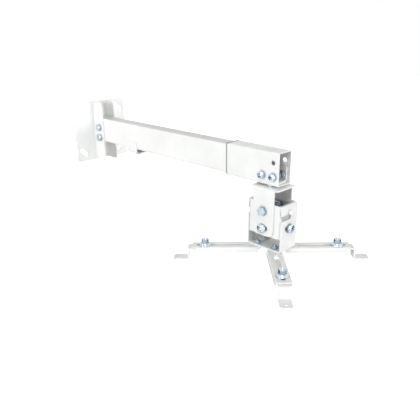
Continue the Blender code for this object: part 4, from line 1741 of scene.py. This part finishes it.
@dataclass
class Arm:
    """The long box tube and the cable clip under it."""

    section: BoxSection = BoxSection(25.4 * MM, 46.4 * MM, 1.5 * MM, 2.5 * MM)
    start: float = 3.3 * MM
    end: float = 432 * MM
    # painted shade on the arm's top face
    top_shade: float = 0.45
    clip_x: float = 125 * MM
    clip_length: float = 28 * MM
    clip_thick: float = 1.5 * MM
    clip_room: float = 6.5 * MM
    clip_grip: float = 14 * MM
    clip_bend: float = 3 * MM
    clip_corner: float = 5 * MM
    clip_soft: float = 0.35 * MM
    clip_mark: Vec2 = (4.6 * MM, 6.2 * MM)
    gap: float = 0.3 * MM

    def tube(self) -> bpy.types.Object:
        """The arm itself: a box section along X with its bolt holes and the clip's hole.

        Returns:
            The finished piece.
        """
        holes = [circle_loop((place(level), ARM_BOLT_X), M8_HOLE)
                 for level in ARM_BOLT_LEVELS for place in (self.section.left, self.section.right)]
        holes.append(circle_loop((self.section.bottom(0.0), self.clip_x), M6_HOLE))
        return self.section.tube("arm_tube_bent", along_arm(), self.start, self.end, holes)

    def clip(self) -> bpy.types.Object:
        """The clip: a strip bent into a shallow U under the arm.

        Returns:
            The finished piece.
        """
        side = self.section.width / 2 + self.gap + self.clip_thick / 2
        floor = -self.section.height / 2 - self.clip_room - self.clip_thick / 2
        top = -self.section.height / 2 + self.clip_grip
        fold = u_fold(side, top, floor, self.clip_bend, self.clip_thick)
        half = self.clip_length / 2
        outline = box_loop((0, -half), (fold.length, half), self.clip_corner)
        hole = circle_loop((fold.length / 2, 0), M6_HOLE)
        return Sheet("cable_clip_bent", fold, along_arm(self.clip_x), self.clip_thick, outline,
                     [hole], self.clip_soft).build()

    def build(self, shop: Workshop) -> None:
        """Make and dress the arm, the clip and its screw.

        Args:
            shop: The workshop that dresses the pieces and hands them over.
        """
        shop.coat(self.tube(), "arm_tube", coat=PowderCoat(top_shade=self.top_shade))
        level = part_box("cable_clip")[0][2]
        mark = PressOrShadeMark((self.clip_x, 0, level), Way.MINUS_Z, *self.clip_mark)
        shop.coat(self.clip(), "cable_clip", [mark])
        shop.fasten(M6_BOLT, "clip_screw", Way.MINUS_Z)


@dataclass
class EndSleeve:
    """The sliding sleeve, the saddle bolted in its floor and the swivel bolt."""

    section: BoxSection = BoxSection(29 * MM, 50 * MM, 1.5 * MM, 2.5 * MM)
    length: float = 102 * MM
    past_axis: float = 19.5 * MM
    screw_x: float = 10 * MM
    screw_level: float = -11 * MM
    screw_mark: Vec2 = (5.8 * MM, 7.4 * MM)
    spare_x: float = 9 * MM
    spare_level: float = 9.3 * MM
    spare_dia: float = 7 * MM
    saddle_width: float = 25.4 * MM
    saddle_thick: float = 2.5 * MM
    saddle_bend: float = 1.5 * MM
    saddle_corner: float = 1.5 * MM
    saddle_bottom: float = -23.2 * MM
    saddle_top: float = -0.2 * MM
    saddle_length: float = 30 * MM
    # painted shadow line at the sleeve's rear edge, where it steps down to the arm
    sleeve_rear_shade: Vec3 = (366.0 * MM, 369.4 * MM, 2.5 * MM)

    def tube(self) -> bpy.types.Object:
        """The sleeve: a box section with the screws' holes, a spare hole and the swivel's hole.

        Returns:
            The finished piece.
        """
        places = [(-self.screw_x, self.screw_level, M6_HOLE), (self.screw_x, self.screw_level, M6_HOLE),
                  (self.spare_x, self.spare_level, self.spare_dia)]
        holes = [circle_loop((self.section.bottom(0.0), 0), M8_HOLE)]
        holes += [circle_loop((place(level), x), dia)
                  for x, level, dia in places for place in (self.section.left, self.section.right)]
        low = self.past_axis - self.length
        return self.section.tube("sleeve_bent", along_arm(HEAD_X), low, self.past_axis, holes)

    def saddle(self) -> bpy.types.Object:
        """The saddle: a strip bent into a U that stands in the sleeve's floor.

        Returns:
            The finished piece.
        """
        side = (self.saddle_width - self.saddle_thick) / 2
        floor = self.saddle_bottom + self.saddle_thick / 2
        fold = u_fold(side, self.saddle_top, floor, self.saddle_bend, self.saddle_thick)
        half = self.saddle_length / 2
        outline = box_loop((0, -half), (fold.length, half), self.saddle_corner)
        rise = self.saddle_top - self.screw_level
        holes = [circle_loop((place, x), M6_HOLE) for place in (rise, fold.length - rise)
                 for x in (-self.screw_x, self.screw_x)]
        holes.append(circle_loop((fold.length / 2, 0), M8_HOLE))
        return Sheet("saddle_bent", fold, along_arm(HEAD_X), self.saddle_thick, outline, holes).build()

    def build(self, shop: Workshop) -> None:
        """Make and dress the sleeve's pieces, its four screws and the swivel.

        Args:
            shop: The workshop that dresses the pieces and hands them over.
        """
        marks = [PressOrShadeMark((HEAD_X + x, side * self.section.width / 2, self.screw_level), way,
                           *self.screw_mark)
                 for side, way in SIDES.values() for x in (-self.screw_x, self.screw_x)]
        shop.coat(self.tube(), "sleeve", marks, PowderCoat(painted_edge_shade=self.sleeve_rear_shade))
        shop.coat(self.saddle(), "saddle")
        for label, (_, way) in SIDES.items():
            for end in ENDS:
                shop.fasten(SADDLE_SCREWS[end], f"saddle_screw_{label}_{end}", way)
                shop.fasten(M6_NUT, f"saddle_nut_{label}_{end}", back(way))
        shop.fasten(M8_BOLT, "swivel_bolt", Way.PLUS_Z)
        shop.fasten(M8_NUT, "swivel_nut", Way.MINUS_Z)
        shop.fasten(SPACER, "swivel_washer", Way.PLUS_Z)


@dataclass
class Head:
    """The yoke, the knuckle that tilts in it and the bolts and lock screws of both axes."""

    top: float = -27.8 * MM
    yoke_width: float = 46 * MM
    yoke_top_length: float = 50 * MM
    yoke_cheek: float = 38 * MM
    yoke_height: float = 74 * MM
    yoke_thick: float = 2.5 * MM
    yoke_bend: float = 1.5 * MM
    yoke_corner: float = 9 * MM
    top_corner: float = 4.5 * MM
    root: float = 2.5 * MM
    relief: float = 1.6 * MM
    tilt_radius: float = 27.5 * MM
    tilt_swing: float = 12.0
    lock_slot: float = 7 * MM
    bolt_mark: Vec2 = (6.2 * MM, 8.4 * MM)
    # painted shade ring on the knuckle, behind the cradle's hook slots
    slot_shade_ring: Vec2 = (4.5 * MM, 19 * MM)
    stud: float = 8 * MM
    knuckle: BoxSection = BoxSection(58.4 * MM, 40.4 * MM, 3 * MM, 4 * MM, -14 * MM)
    knuckle_above: float = 11.5 * MM
    knuckle_below: float = 39.5 * MM

    def yoke(self) -> bpy.types.Object:
        """The yoke: a cross-shaped blank bent down on both sides of its long top.

        Returns:
            The finished piece.
        """
        side = (self.yoke_width - self.yoke_thick) / 2
        fold = u_fold(-side, -self.yoke_height, -self.yoke_thick / 2, self.yoke_bend, self.yoke_thick)
        far = fold.length
        shoulder = float(fold.ends[0]) + self.relief
        cheek, half = self.yoke_cheek / 2, self.yoke_top_length / 2
        run = [(0, cheek, self.yoke_corner), (shoulder, cheek, self.root),
               (shoulder, half, self.top_corner)]
        lower = [(s, -t, r) for s, t, r in run] + [(far - s, -t, r) for s, t, r in run[::-1]]
        outline = corner_loop(lower + [(s, -t, r) for s, t, r in lower[::-1]])
        pivot = self.yoke_height - (self.top - PIVOT_LEVEL)
        lock = arc_slot_loop(self.tilt_radius, self.tilt_swing, self.lock_slot)
        holes = [circle_loop((place, 0), M8_HOLE) for place in (far / 2, pivot, far - pivot)]
        holes += [np.column_stack([pivot + lock[:, 1], lock[:, 0]]),
                  np.column_stack([far - pivot - lock[:, 1], lock[:, 0]])]
        stand = along_arm(HEAD_X, self.top)
        return Sheet("yoke_bent", fold, stand, self.yoke_thick, outline, holes).build()

    def knuckle_tube(self) -> bpy.types.Object:
        """The knuckle: a short upright box section drilled through both ways.

        Returns:
            The finished piece.
        """
        section = self.knuckle
        pairs = [(section.left, ROLL_RADIUS), (section.right, ROLL_RADIUS),
                 (section.bottom, self.tilt_radius), (section.top, self.tilt_radius)]
        holes = [circle_loop((place(0.0), level), dia)
                 for place, radius in pairs for level, dia in ((0, M8_HOLE), (-radius, M6_HOLE))]
        stand = Stand((HEAD_X, 0, PIVOT_LEVEL), (1, 0, 0), (0, 1, 0), (0, 0, 1))
        return section.tube("knuckle_bent", stand, -self.knuckle_below, self.knuckle_above, holes)

    def fasteners(self, shop: Workshop) -> None:
        """Pivot bolts and studs, their nuts and the lock screws of both axes.

        Args:
            shop: The workshop that dresses the pieces and hands them over.
        """
        for kind, table in (("tilt", SIDES), ("roll", ENDS)):
            for label, (_, way) in table.items():
                bolt, nut, lock = (f"{kind}_{part}_{label}" for part in ("bolt", "nut", "lock"))
                if kind == "roll":
                    shop.coat(Stud(self.stud).build(bolt + "_turned", Spot.of_node(bolt, way)), bolt)
                else:
                    shop.fasten(M8_BOLT, bolt, way)
                shop.fasten(M8_NUT, nut, back(way))
                shop.fasten(LOCK_SCREW, lock, way)

    def build(self, shop: Workshop) -> None:
        """Make and dress the head's pieces.

        Args:
            shop: The workshop that dresses the pieces and hands them over.
        """
        marks = []
        for side, way in SIDES.values():
            outer = side * self.yoke_width / 2
            marks.append(PressOrShadeMark((HEAD_X, outer, PIVOT_LEVEL), way, *self.bolt_mark))
            marks.append(PressOrShadeMark((HEAD_X, outer, PIVOT_LEVEL - self.tilt_radius), way, *LOCK_MARK))
        shop.coat(self.yoke(), "yoke", marks)
        # painted shade: a dark ring on the knuckle's end faces, seen through the cradle's hook slots
        slot_shade = PressOrShadeMark((HEAD_X, 0, PIVOT_LEVEL), Way.PLUS_X, *self.slot_shade_ring, share=1.0)
        shop.coat(self.knuckle_tube(), "knuckle", [slot_shade])
        self.fasteners(shop)


@dataclass
class Cradle:
    """The upward U that hooks on the roll studs, with the legs' pivot bolts in its floor."""

    length: float = 64 * MM
    width: float = 38 * MM
    thick: float = 2.5 * MM
    bend: float = 1.5 * MM
    above: float = 12 * MM
    below: float = 62 * MM
    corner: float = 3 * MM
    hook_drop: float = 7.5 * MM
    hook_lip: float = 0.6 * MM
    hook_round: float = 0.97
    roll_swing: float = 15.0
    lock_slot: float = 7 * MM

    def hook(self) -> list[Vec3]:
        """One hook slot, from the cheek's edge in and up to the bolt, as corner rows.

        Returns:
            Rows of distance along the blank, place across it and corner radius.
        """
        half, lip = M8_HOLE / 2, self.hook_lip
        turn = half * self.hook_round
        upper, lower = self.above + self.hook_drop - half, self.above + self.hook_drop + half
        edge, seat = -self.width / 2, self.above - half
        return [(upper, edge, lip), (upper, -half, lip), (seat, -half, turn),
                (seat, half, turn), (lower, half, turn), (lower, edge, lip)]

    def shell(self) -> bpy.types.Object:
        """The cradle: a blank with a hook slot and an arc slot in each cheek, bent up twice.

        Returns:
            The finished piece.
        """
        side = (self.length - self.thick) / 2
        fold = u_fold(side, self.above, -self.below + self.thick / 2, self.bend, self.thick)
        far, half = fold.length, self.width / 2
        hook = self.hook()
        corners = [(0, -half, self.corner)] + hook + [(far - s, t, r) for s, t, r in hook[::-1]]
        corners += [(far, -half, self.corner), (far, half, self.corner), (0, half, self.corner)]
        lock = arc_slot_loop(ROLL_RADIUS, self.roll_swing, self.lock_slot)
        holes = [np.column_stack([self.above - lock[:, 1], lock[:, 0]]),
                 np.column_stack([far - self.above + lock[:, 1], lock[:, 0]])]
        holes += [circle_loop((fold.at(1, side + x), y), M6_HOLE)
                  for x in (-LEG_X, LEG_X) for y in (-LEG_Y, LEG_Y)]
        stand = Stand((HEAD_X, 0, PIVOT_LEVEL), (1, 0, 0), (0, 0, 1), (0, 1, 0))
        return Sheet("cradle_bent", fold, stand, self.thick, corner_loop(corners), holes).build()

    def build(self, shop: Workshop) -> None:
        """Make and dress the cradle and the legs' pivot bolts.

        Args:
            shop: The workshop that dresses the pieces and hands them over.
        """
        level, half = PIVOT_LEVEL - ROLL_RADIUS, self.length / 2
        marks = [PressOrShadeMark((HEAD_X + side * half, 0, level), way, *LOCK_MARK)
                 for side, way in ENDS.values()]
        shop.coat(self.shell(), "cradle", marks)
        for end in ENDS:
            for side in SIDES:
                shop.fasten(M6_BOLT, f"leg_bolt_{end}_{side}", Way.MINUS_Z)
                shop.fasten(M6_NUT, f"leg_nut_{end}_{side}", Way.PLUS_Z)


@dataclass
class Leg:
    """A swinging channel leg with its sliding foot, foot bolt and flange nut."""

    end: str
    side: str
    level: float = -125.1 * MM
    width: float = 24 * MM
    depth: float = 8 * MM
    thick: float = 2 * MM
    bend: float = 1 * MM
    soft: float = 0.4 * MM
    reach: float = 100.5 * MM
    tip: float = 5 * MM
    tip_round: float = 0.92
    end_round: float = 0.985
    end_in: float = 1.14 * MM
    side_corner: float = 1 * MM
    notch: float = 0.3 * MM
    slot_from: float = 18 * MM
    slot_end: float = 93.5 * MM
    slot_width: float = 6.6 * MM
    foot_at: float = 81 * MM
    foot_width: float = 17.5 * MM
    foot_thick: float = 2.5 * MM
    foot_bend: float = 1.5 * MM
    foot_tail: float = 56 * MM
    foot_web: float = 27 * MM
    foot_drop: float = 19.7 * MM
    foot_pad: float = 22.5 * MM
    foot_hole: float = 5.5 * MM
    foot_hole_at: float = 15 * MM
    foot_corner: float = 4 * MM
    foot_mark: Vec2 = (9.0 * MM, 10.4 * MM)
    gap: float = 0.3 * MM

    @property
    def label(self) -> str:
        """The leg's name ending."""
        return f"{self.end}_{self.side}"

    def directions(self) -> tuple[Vec3, Vec3]:
        """The way the leg runs at rest, and the way across it."""
        x, y = ENDS[self.end][0] * math.sqrt(0.5), SIDES[self.side][0] * math.sqrt(0.5)
        return (x, y, 0.0), (-y, x, 0.0)

    def origin(self, along: float) -> Vec3:
        """A point on the leg's top, at a distance from its pivot.

        Args:
            along: Distance from the pivot, along the leg.

        Returns:
            The point.
        """
        (x, y, _), _ = self.directions()
        return (HEAD_X + ENDS[self.end][0] * LEG_X + x * along,
                SIDES[self.side][0] * LEG_Y + y * along, self.level)

    def channel(self) -> bpy.types.Object:
        """The leg: a blank with a round end and a long slot, its two long sides bent down.

        Returns:
            The finished piece.
        """
        side = (self.width - self.thick) / 2
        fold = u_fold(-side, -self.depth, -self.thick / 2, self.bend, self.thick)
        far, middle = fold.length, fold.length / 2
        flat = float(fold.ends[0]) + self.bend + self.thick / 2
        half = middle - flat + self.end_in
        web = middle - half
        turn, nose, brim = self.end_round * half, self.tip_round * self.tip, self.side_corner
        tip, reach = self.reach - self.tip, self.reach
        outline = corner_loop([
            (0, 0, brim), (web, 0, 0), (web, -half, turn), (far - web, -half, turn), (far - web, 0, 0),
            (far, 0, brim), (far, tip, brim), (far - web, tip, self.notch), (far - web, reach, nose),
            (web, reach, nose), (web, tip, self.notch), (0, tip, brim)], 16)
        run = (self.slot_from + self.slot_end) / 2
        holes = [circle_loop((middle, 0), M6_HOLE),
                 slot_loop((middle, run), self.slot_end - self.slot_from, self.slot_width, math.pi / 2)]
        along, across = self.directions()
        stand = Stand(self.origin(0.0), across, (0, 0, 1), along)
        name = f"leg_{self.label}_bent"
        return Sheet(name, fold, stand, self.thick, outline, holes, self.soft).build()

    def foot(self) -> bpy.types.Object:
        """The foot: a strip bent down and out again, under the leg.

        Returns:
            The finished piece.
        """
        top = -self.thick - self.gap
        upper, lower = top - self.foot_thick / 2, top - self.foot_drop + self.foot_thick / 2
        web, end = self.foot_web - self.foot_thick / 2, self.foot_web + self.foot_pad
        fold = Fold([(-self.foot_tail, upper), (web, upper), (web, lower), (end, lower)],
                    self.foot_bend + self.foot_thick / 2)
        half = self.foot_width / 2
        outline = box_loop((0, -half), (fold.length, half), self.foot_corner)
        pad_hole = fold.at(2, self.foot_web + self.foot_hole_at - web)
        holes = [circle_loop((self.foot_tail, 0), M6_HOLE), circle_loop((pad_hole, 0), self.foot_hole)]
        along, across = self.directions()
        stand = Stand(self.origin(self.foot_at), along, (0, 0, 1), across)
        return Sheet(f"foot_{self.label}_bent", fold, stand, self.foot_thick, outline, holes).build()

    def build(self, shop: Workshop) -> None:
        """Make and dress the leg's pieces.

        Args:
            shop: The workshop that dresses the pieces and hands them over.
        """
        mark = PressOrShadeMark(self.origin(self.foot_at), Way.PLUS_Z, *self.foot_mark)
        shop.coat(self.channel(), "leg_" + self.label, [mark])
        shop.coat(self.foot(), "foot_" + self.label)
        shop.fasten(M6_BOLT, "foot_bolt_" + self.label, Way.MINUS_Z)
        shop.fasten(FLANGE_NUT, "foot_nut_" + self.label, Way.PLUS_Z)


# Studio

WHITE = (1.0, 1.0, 1.0)


def looking(spot: Vec3, aim: np.ndarray, roll: float = 0.0) -> Matrix:
    """The matrix of a camera or lamp that looks along a direction.

    Args:
        spot: Where it stands.
        aim: The direction it looks along.
        roll: How far its right side dips, in radians.

    Returns:
        Its world matrix, with the view along local -Z and up along local +Y.
    """
    forward = unit(np.asarray(aim, float))
    right = np.cross(forward, [0.0, 0.0, 1.0])
    right = unit(right) if np.linalg.norm(right) > 1e-6 else np.array([1.0, 0.0, 0.0])
    upward = np.cross(right, forward)
    right = right * math.cos(roll) - upward * math.sin(roll)
    upward = np.cross(right, forward)
    rows = np.eye(4)
    rows[:3, 0], rows[:3, 1], rows[:3, 2], rows[:3, 3] = right, upward, -forward, spot
    return Matrix(rows.tolist())


@dataclass(frozen=True)
class SoftBox:
    """A large soft lamp, a disk that points at its target."""

    name: str
    spot: Vec3
    size: float
    power: float
    target: Vec3 = (0.3, 0.0, -0.03)
    spread: float = 180.0

    def build(self) -> None:
        """Hang the lamp and point it at its target."""
        data = bpy.data.lights.new(self.name, "AREA")
        data.shape = "DISK"
        data.size = self.size
        data.energy = self.power
        data.spread = math.radians(self.spread)
        aim = np.asarray(self.target) - np.asarray(self.spot)
        linked(self.name, data).matrix_world = looking(self.spot, aim)


LAMPS = (
    SoftBox("lamp_high", (1.6, -1.5, 2.8), 1.4, 27.0),
    SoftBox("lamp_left", (0.0, -4.6, 0.7), 1.7, 100.0),
    SoftBox("lamp_right", (5.2, 1.1, 0.6), 1.7, 110.0),
    SoftBox("lamp_bracket", (2.4, -1.5, 0.25), 0.3, 0.09, target=(-0.03, -0.01, -0.01), spread=10.0),
)


@dataclass
class Studio:
    """Plain white studio: a pale floor far below the mount, soft lamps and the camera."""

    floor_level: float = -0.42
    floor_size: float = 12.0
    floor_colour: Vec3 = (0.86, 0.86, 0.86)
    floor_in_metal: Vec3 = (0.05, 0.055, 0.07)
    lens: float = 41.75
    camera_spot: Vec3 = (0.8666, -0.5551, 0.1887)
    yaw: float = 44.73
    pitch: float = 20.39
    roll: float = 0.42
    fill: float = 0.52

    def world(self) -> None:
        """White where it is seen directly or mirrored, and a soft fill for everything else."""
        world = bpy.data.worlds.new("studio_white")
        bpy.context.scene.world = world
        world.use_nodes = True
        wiring = Wiring(world.node_tree)
        path = wiring.add("ShaderNodeLightPath").outputs
        seen = wiring.math("MAXIMUM", path["Is Camera Ray"], path["Is Transmission Ray"])
        seen = wiring.math("MAXIMUM", seen, path["Is Glossy Ray"])
        strength = wiring.math("MAXIMUM", seen, self.fill)
        ground = world.node_tree.nodes["Background"]
        wiring.feed(ground, {"Color": solid(WHITE), "Strength": strength})

    def floor(self) -> None:
        """A wide pale floor: white to the eye, darker only where the mount shades it.

        Shiny metal sees it bright in front of the mount and dark behind it, as in a studio.
        """
        half = self.floor_size / 2
        data = bpy.data.meshes.new("studio_floor")
        turns = ((-half, -half), (half, -half), (half, half), (-half, half))
        data.from_pydata([(x, y, self.floor_level) for x, y in turns], [], [(0, 1, 2, 3)])
        material, wiring, shader = node_material("floor_white")
        path = wiring.add("ShaderNodeLightPath").outputs
        place = wiring.place()
        glow = wiring.ramp(wiring.vector("LENGTH", place), 1.2, 3.5, 0.55, 0.85)
        x, y, _ = wiring.parts(place)
        front = wiring.ramp(wiring.math("SUBTRACT", x, y), 0.1, 0.6, 0.02, 0.95)
        seen = wiring.math("MULTIPLY", path["Is Camera Ray"], glow)
        mirrored = wiring.math("MULTIPLY", path["Is Glossy Ray"], front)
        shade = wiring.mix(path["Is Glossy Ray"], solid(self.floor_colour), solid(self.floor_in_metal))
        wiring.feed(shader, {
            "Base Color": shade, "Roughness": 0.9, "Specular IOR Level": 0.1,
            "Emission Color": solid(WHITE), "Emission Strength": wiring.math("ADD", seen, mirrored)})
        data.materials.append(material)
        linked("studio_floor", data)

    def camera(self) -> None:
        """The camera at the photograph's angle."""
        data = bpy.data.cameras.new("view")
        data.lens = self.lens
        data.sensor_width = 36.0
        data.clip_start = 0.01
        data.clip_end = 50.0
        yaw, pitch = math.radians(self.yaw), math.radians(self.pitch)
        flat = math.cos(pitch)
        aim = np.array([-math.sin(yaw) * flat, math.cos(yaw) * flat, -math.sin(pitch)])
        item = linked("view", data)
        item.matrix_world = looking(self.camera_spot, aim, math.radians(self.roll))
        bpy.context.scene.camera = item

    def build(self) -> None:
        """Set up world, floor, lamps, camera and the plain view transform.

        The lamps stand above, left and right, and a narrow one whitens the wall bracket.
        """
        self.world()
        self.floor()
        for lamp in LAMPS:
            lamp.build()
        self.camera()
        bpy.context.scene.view_settings.view_transform = "Standard"
        LOG.info("studio: floor at %.2f m, lens %.1f mm", self.floor_level, self.lens)


def main() -> None:
    """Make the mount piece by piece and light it."""
    logging.basicConfig(level=logging.INFO, format="%(name)s: %(message)s", force=True)
    shop = Workshop()
    legs = [Leg(end, side) for end in ENDS for side in SIDES]
    for assembly in (WallBracket(), Arm(), EndSleeve(), Head(), Cradle(), *legs):
        assembly.build(shop)
    Studio().build()
    LOG.info("%d pieces", shop.count)


if __name__ == "__main__":
    main()
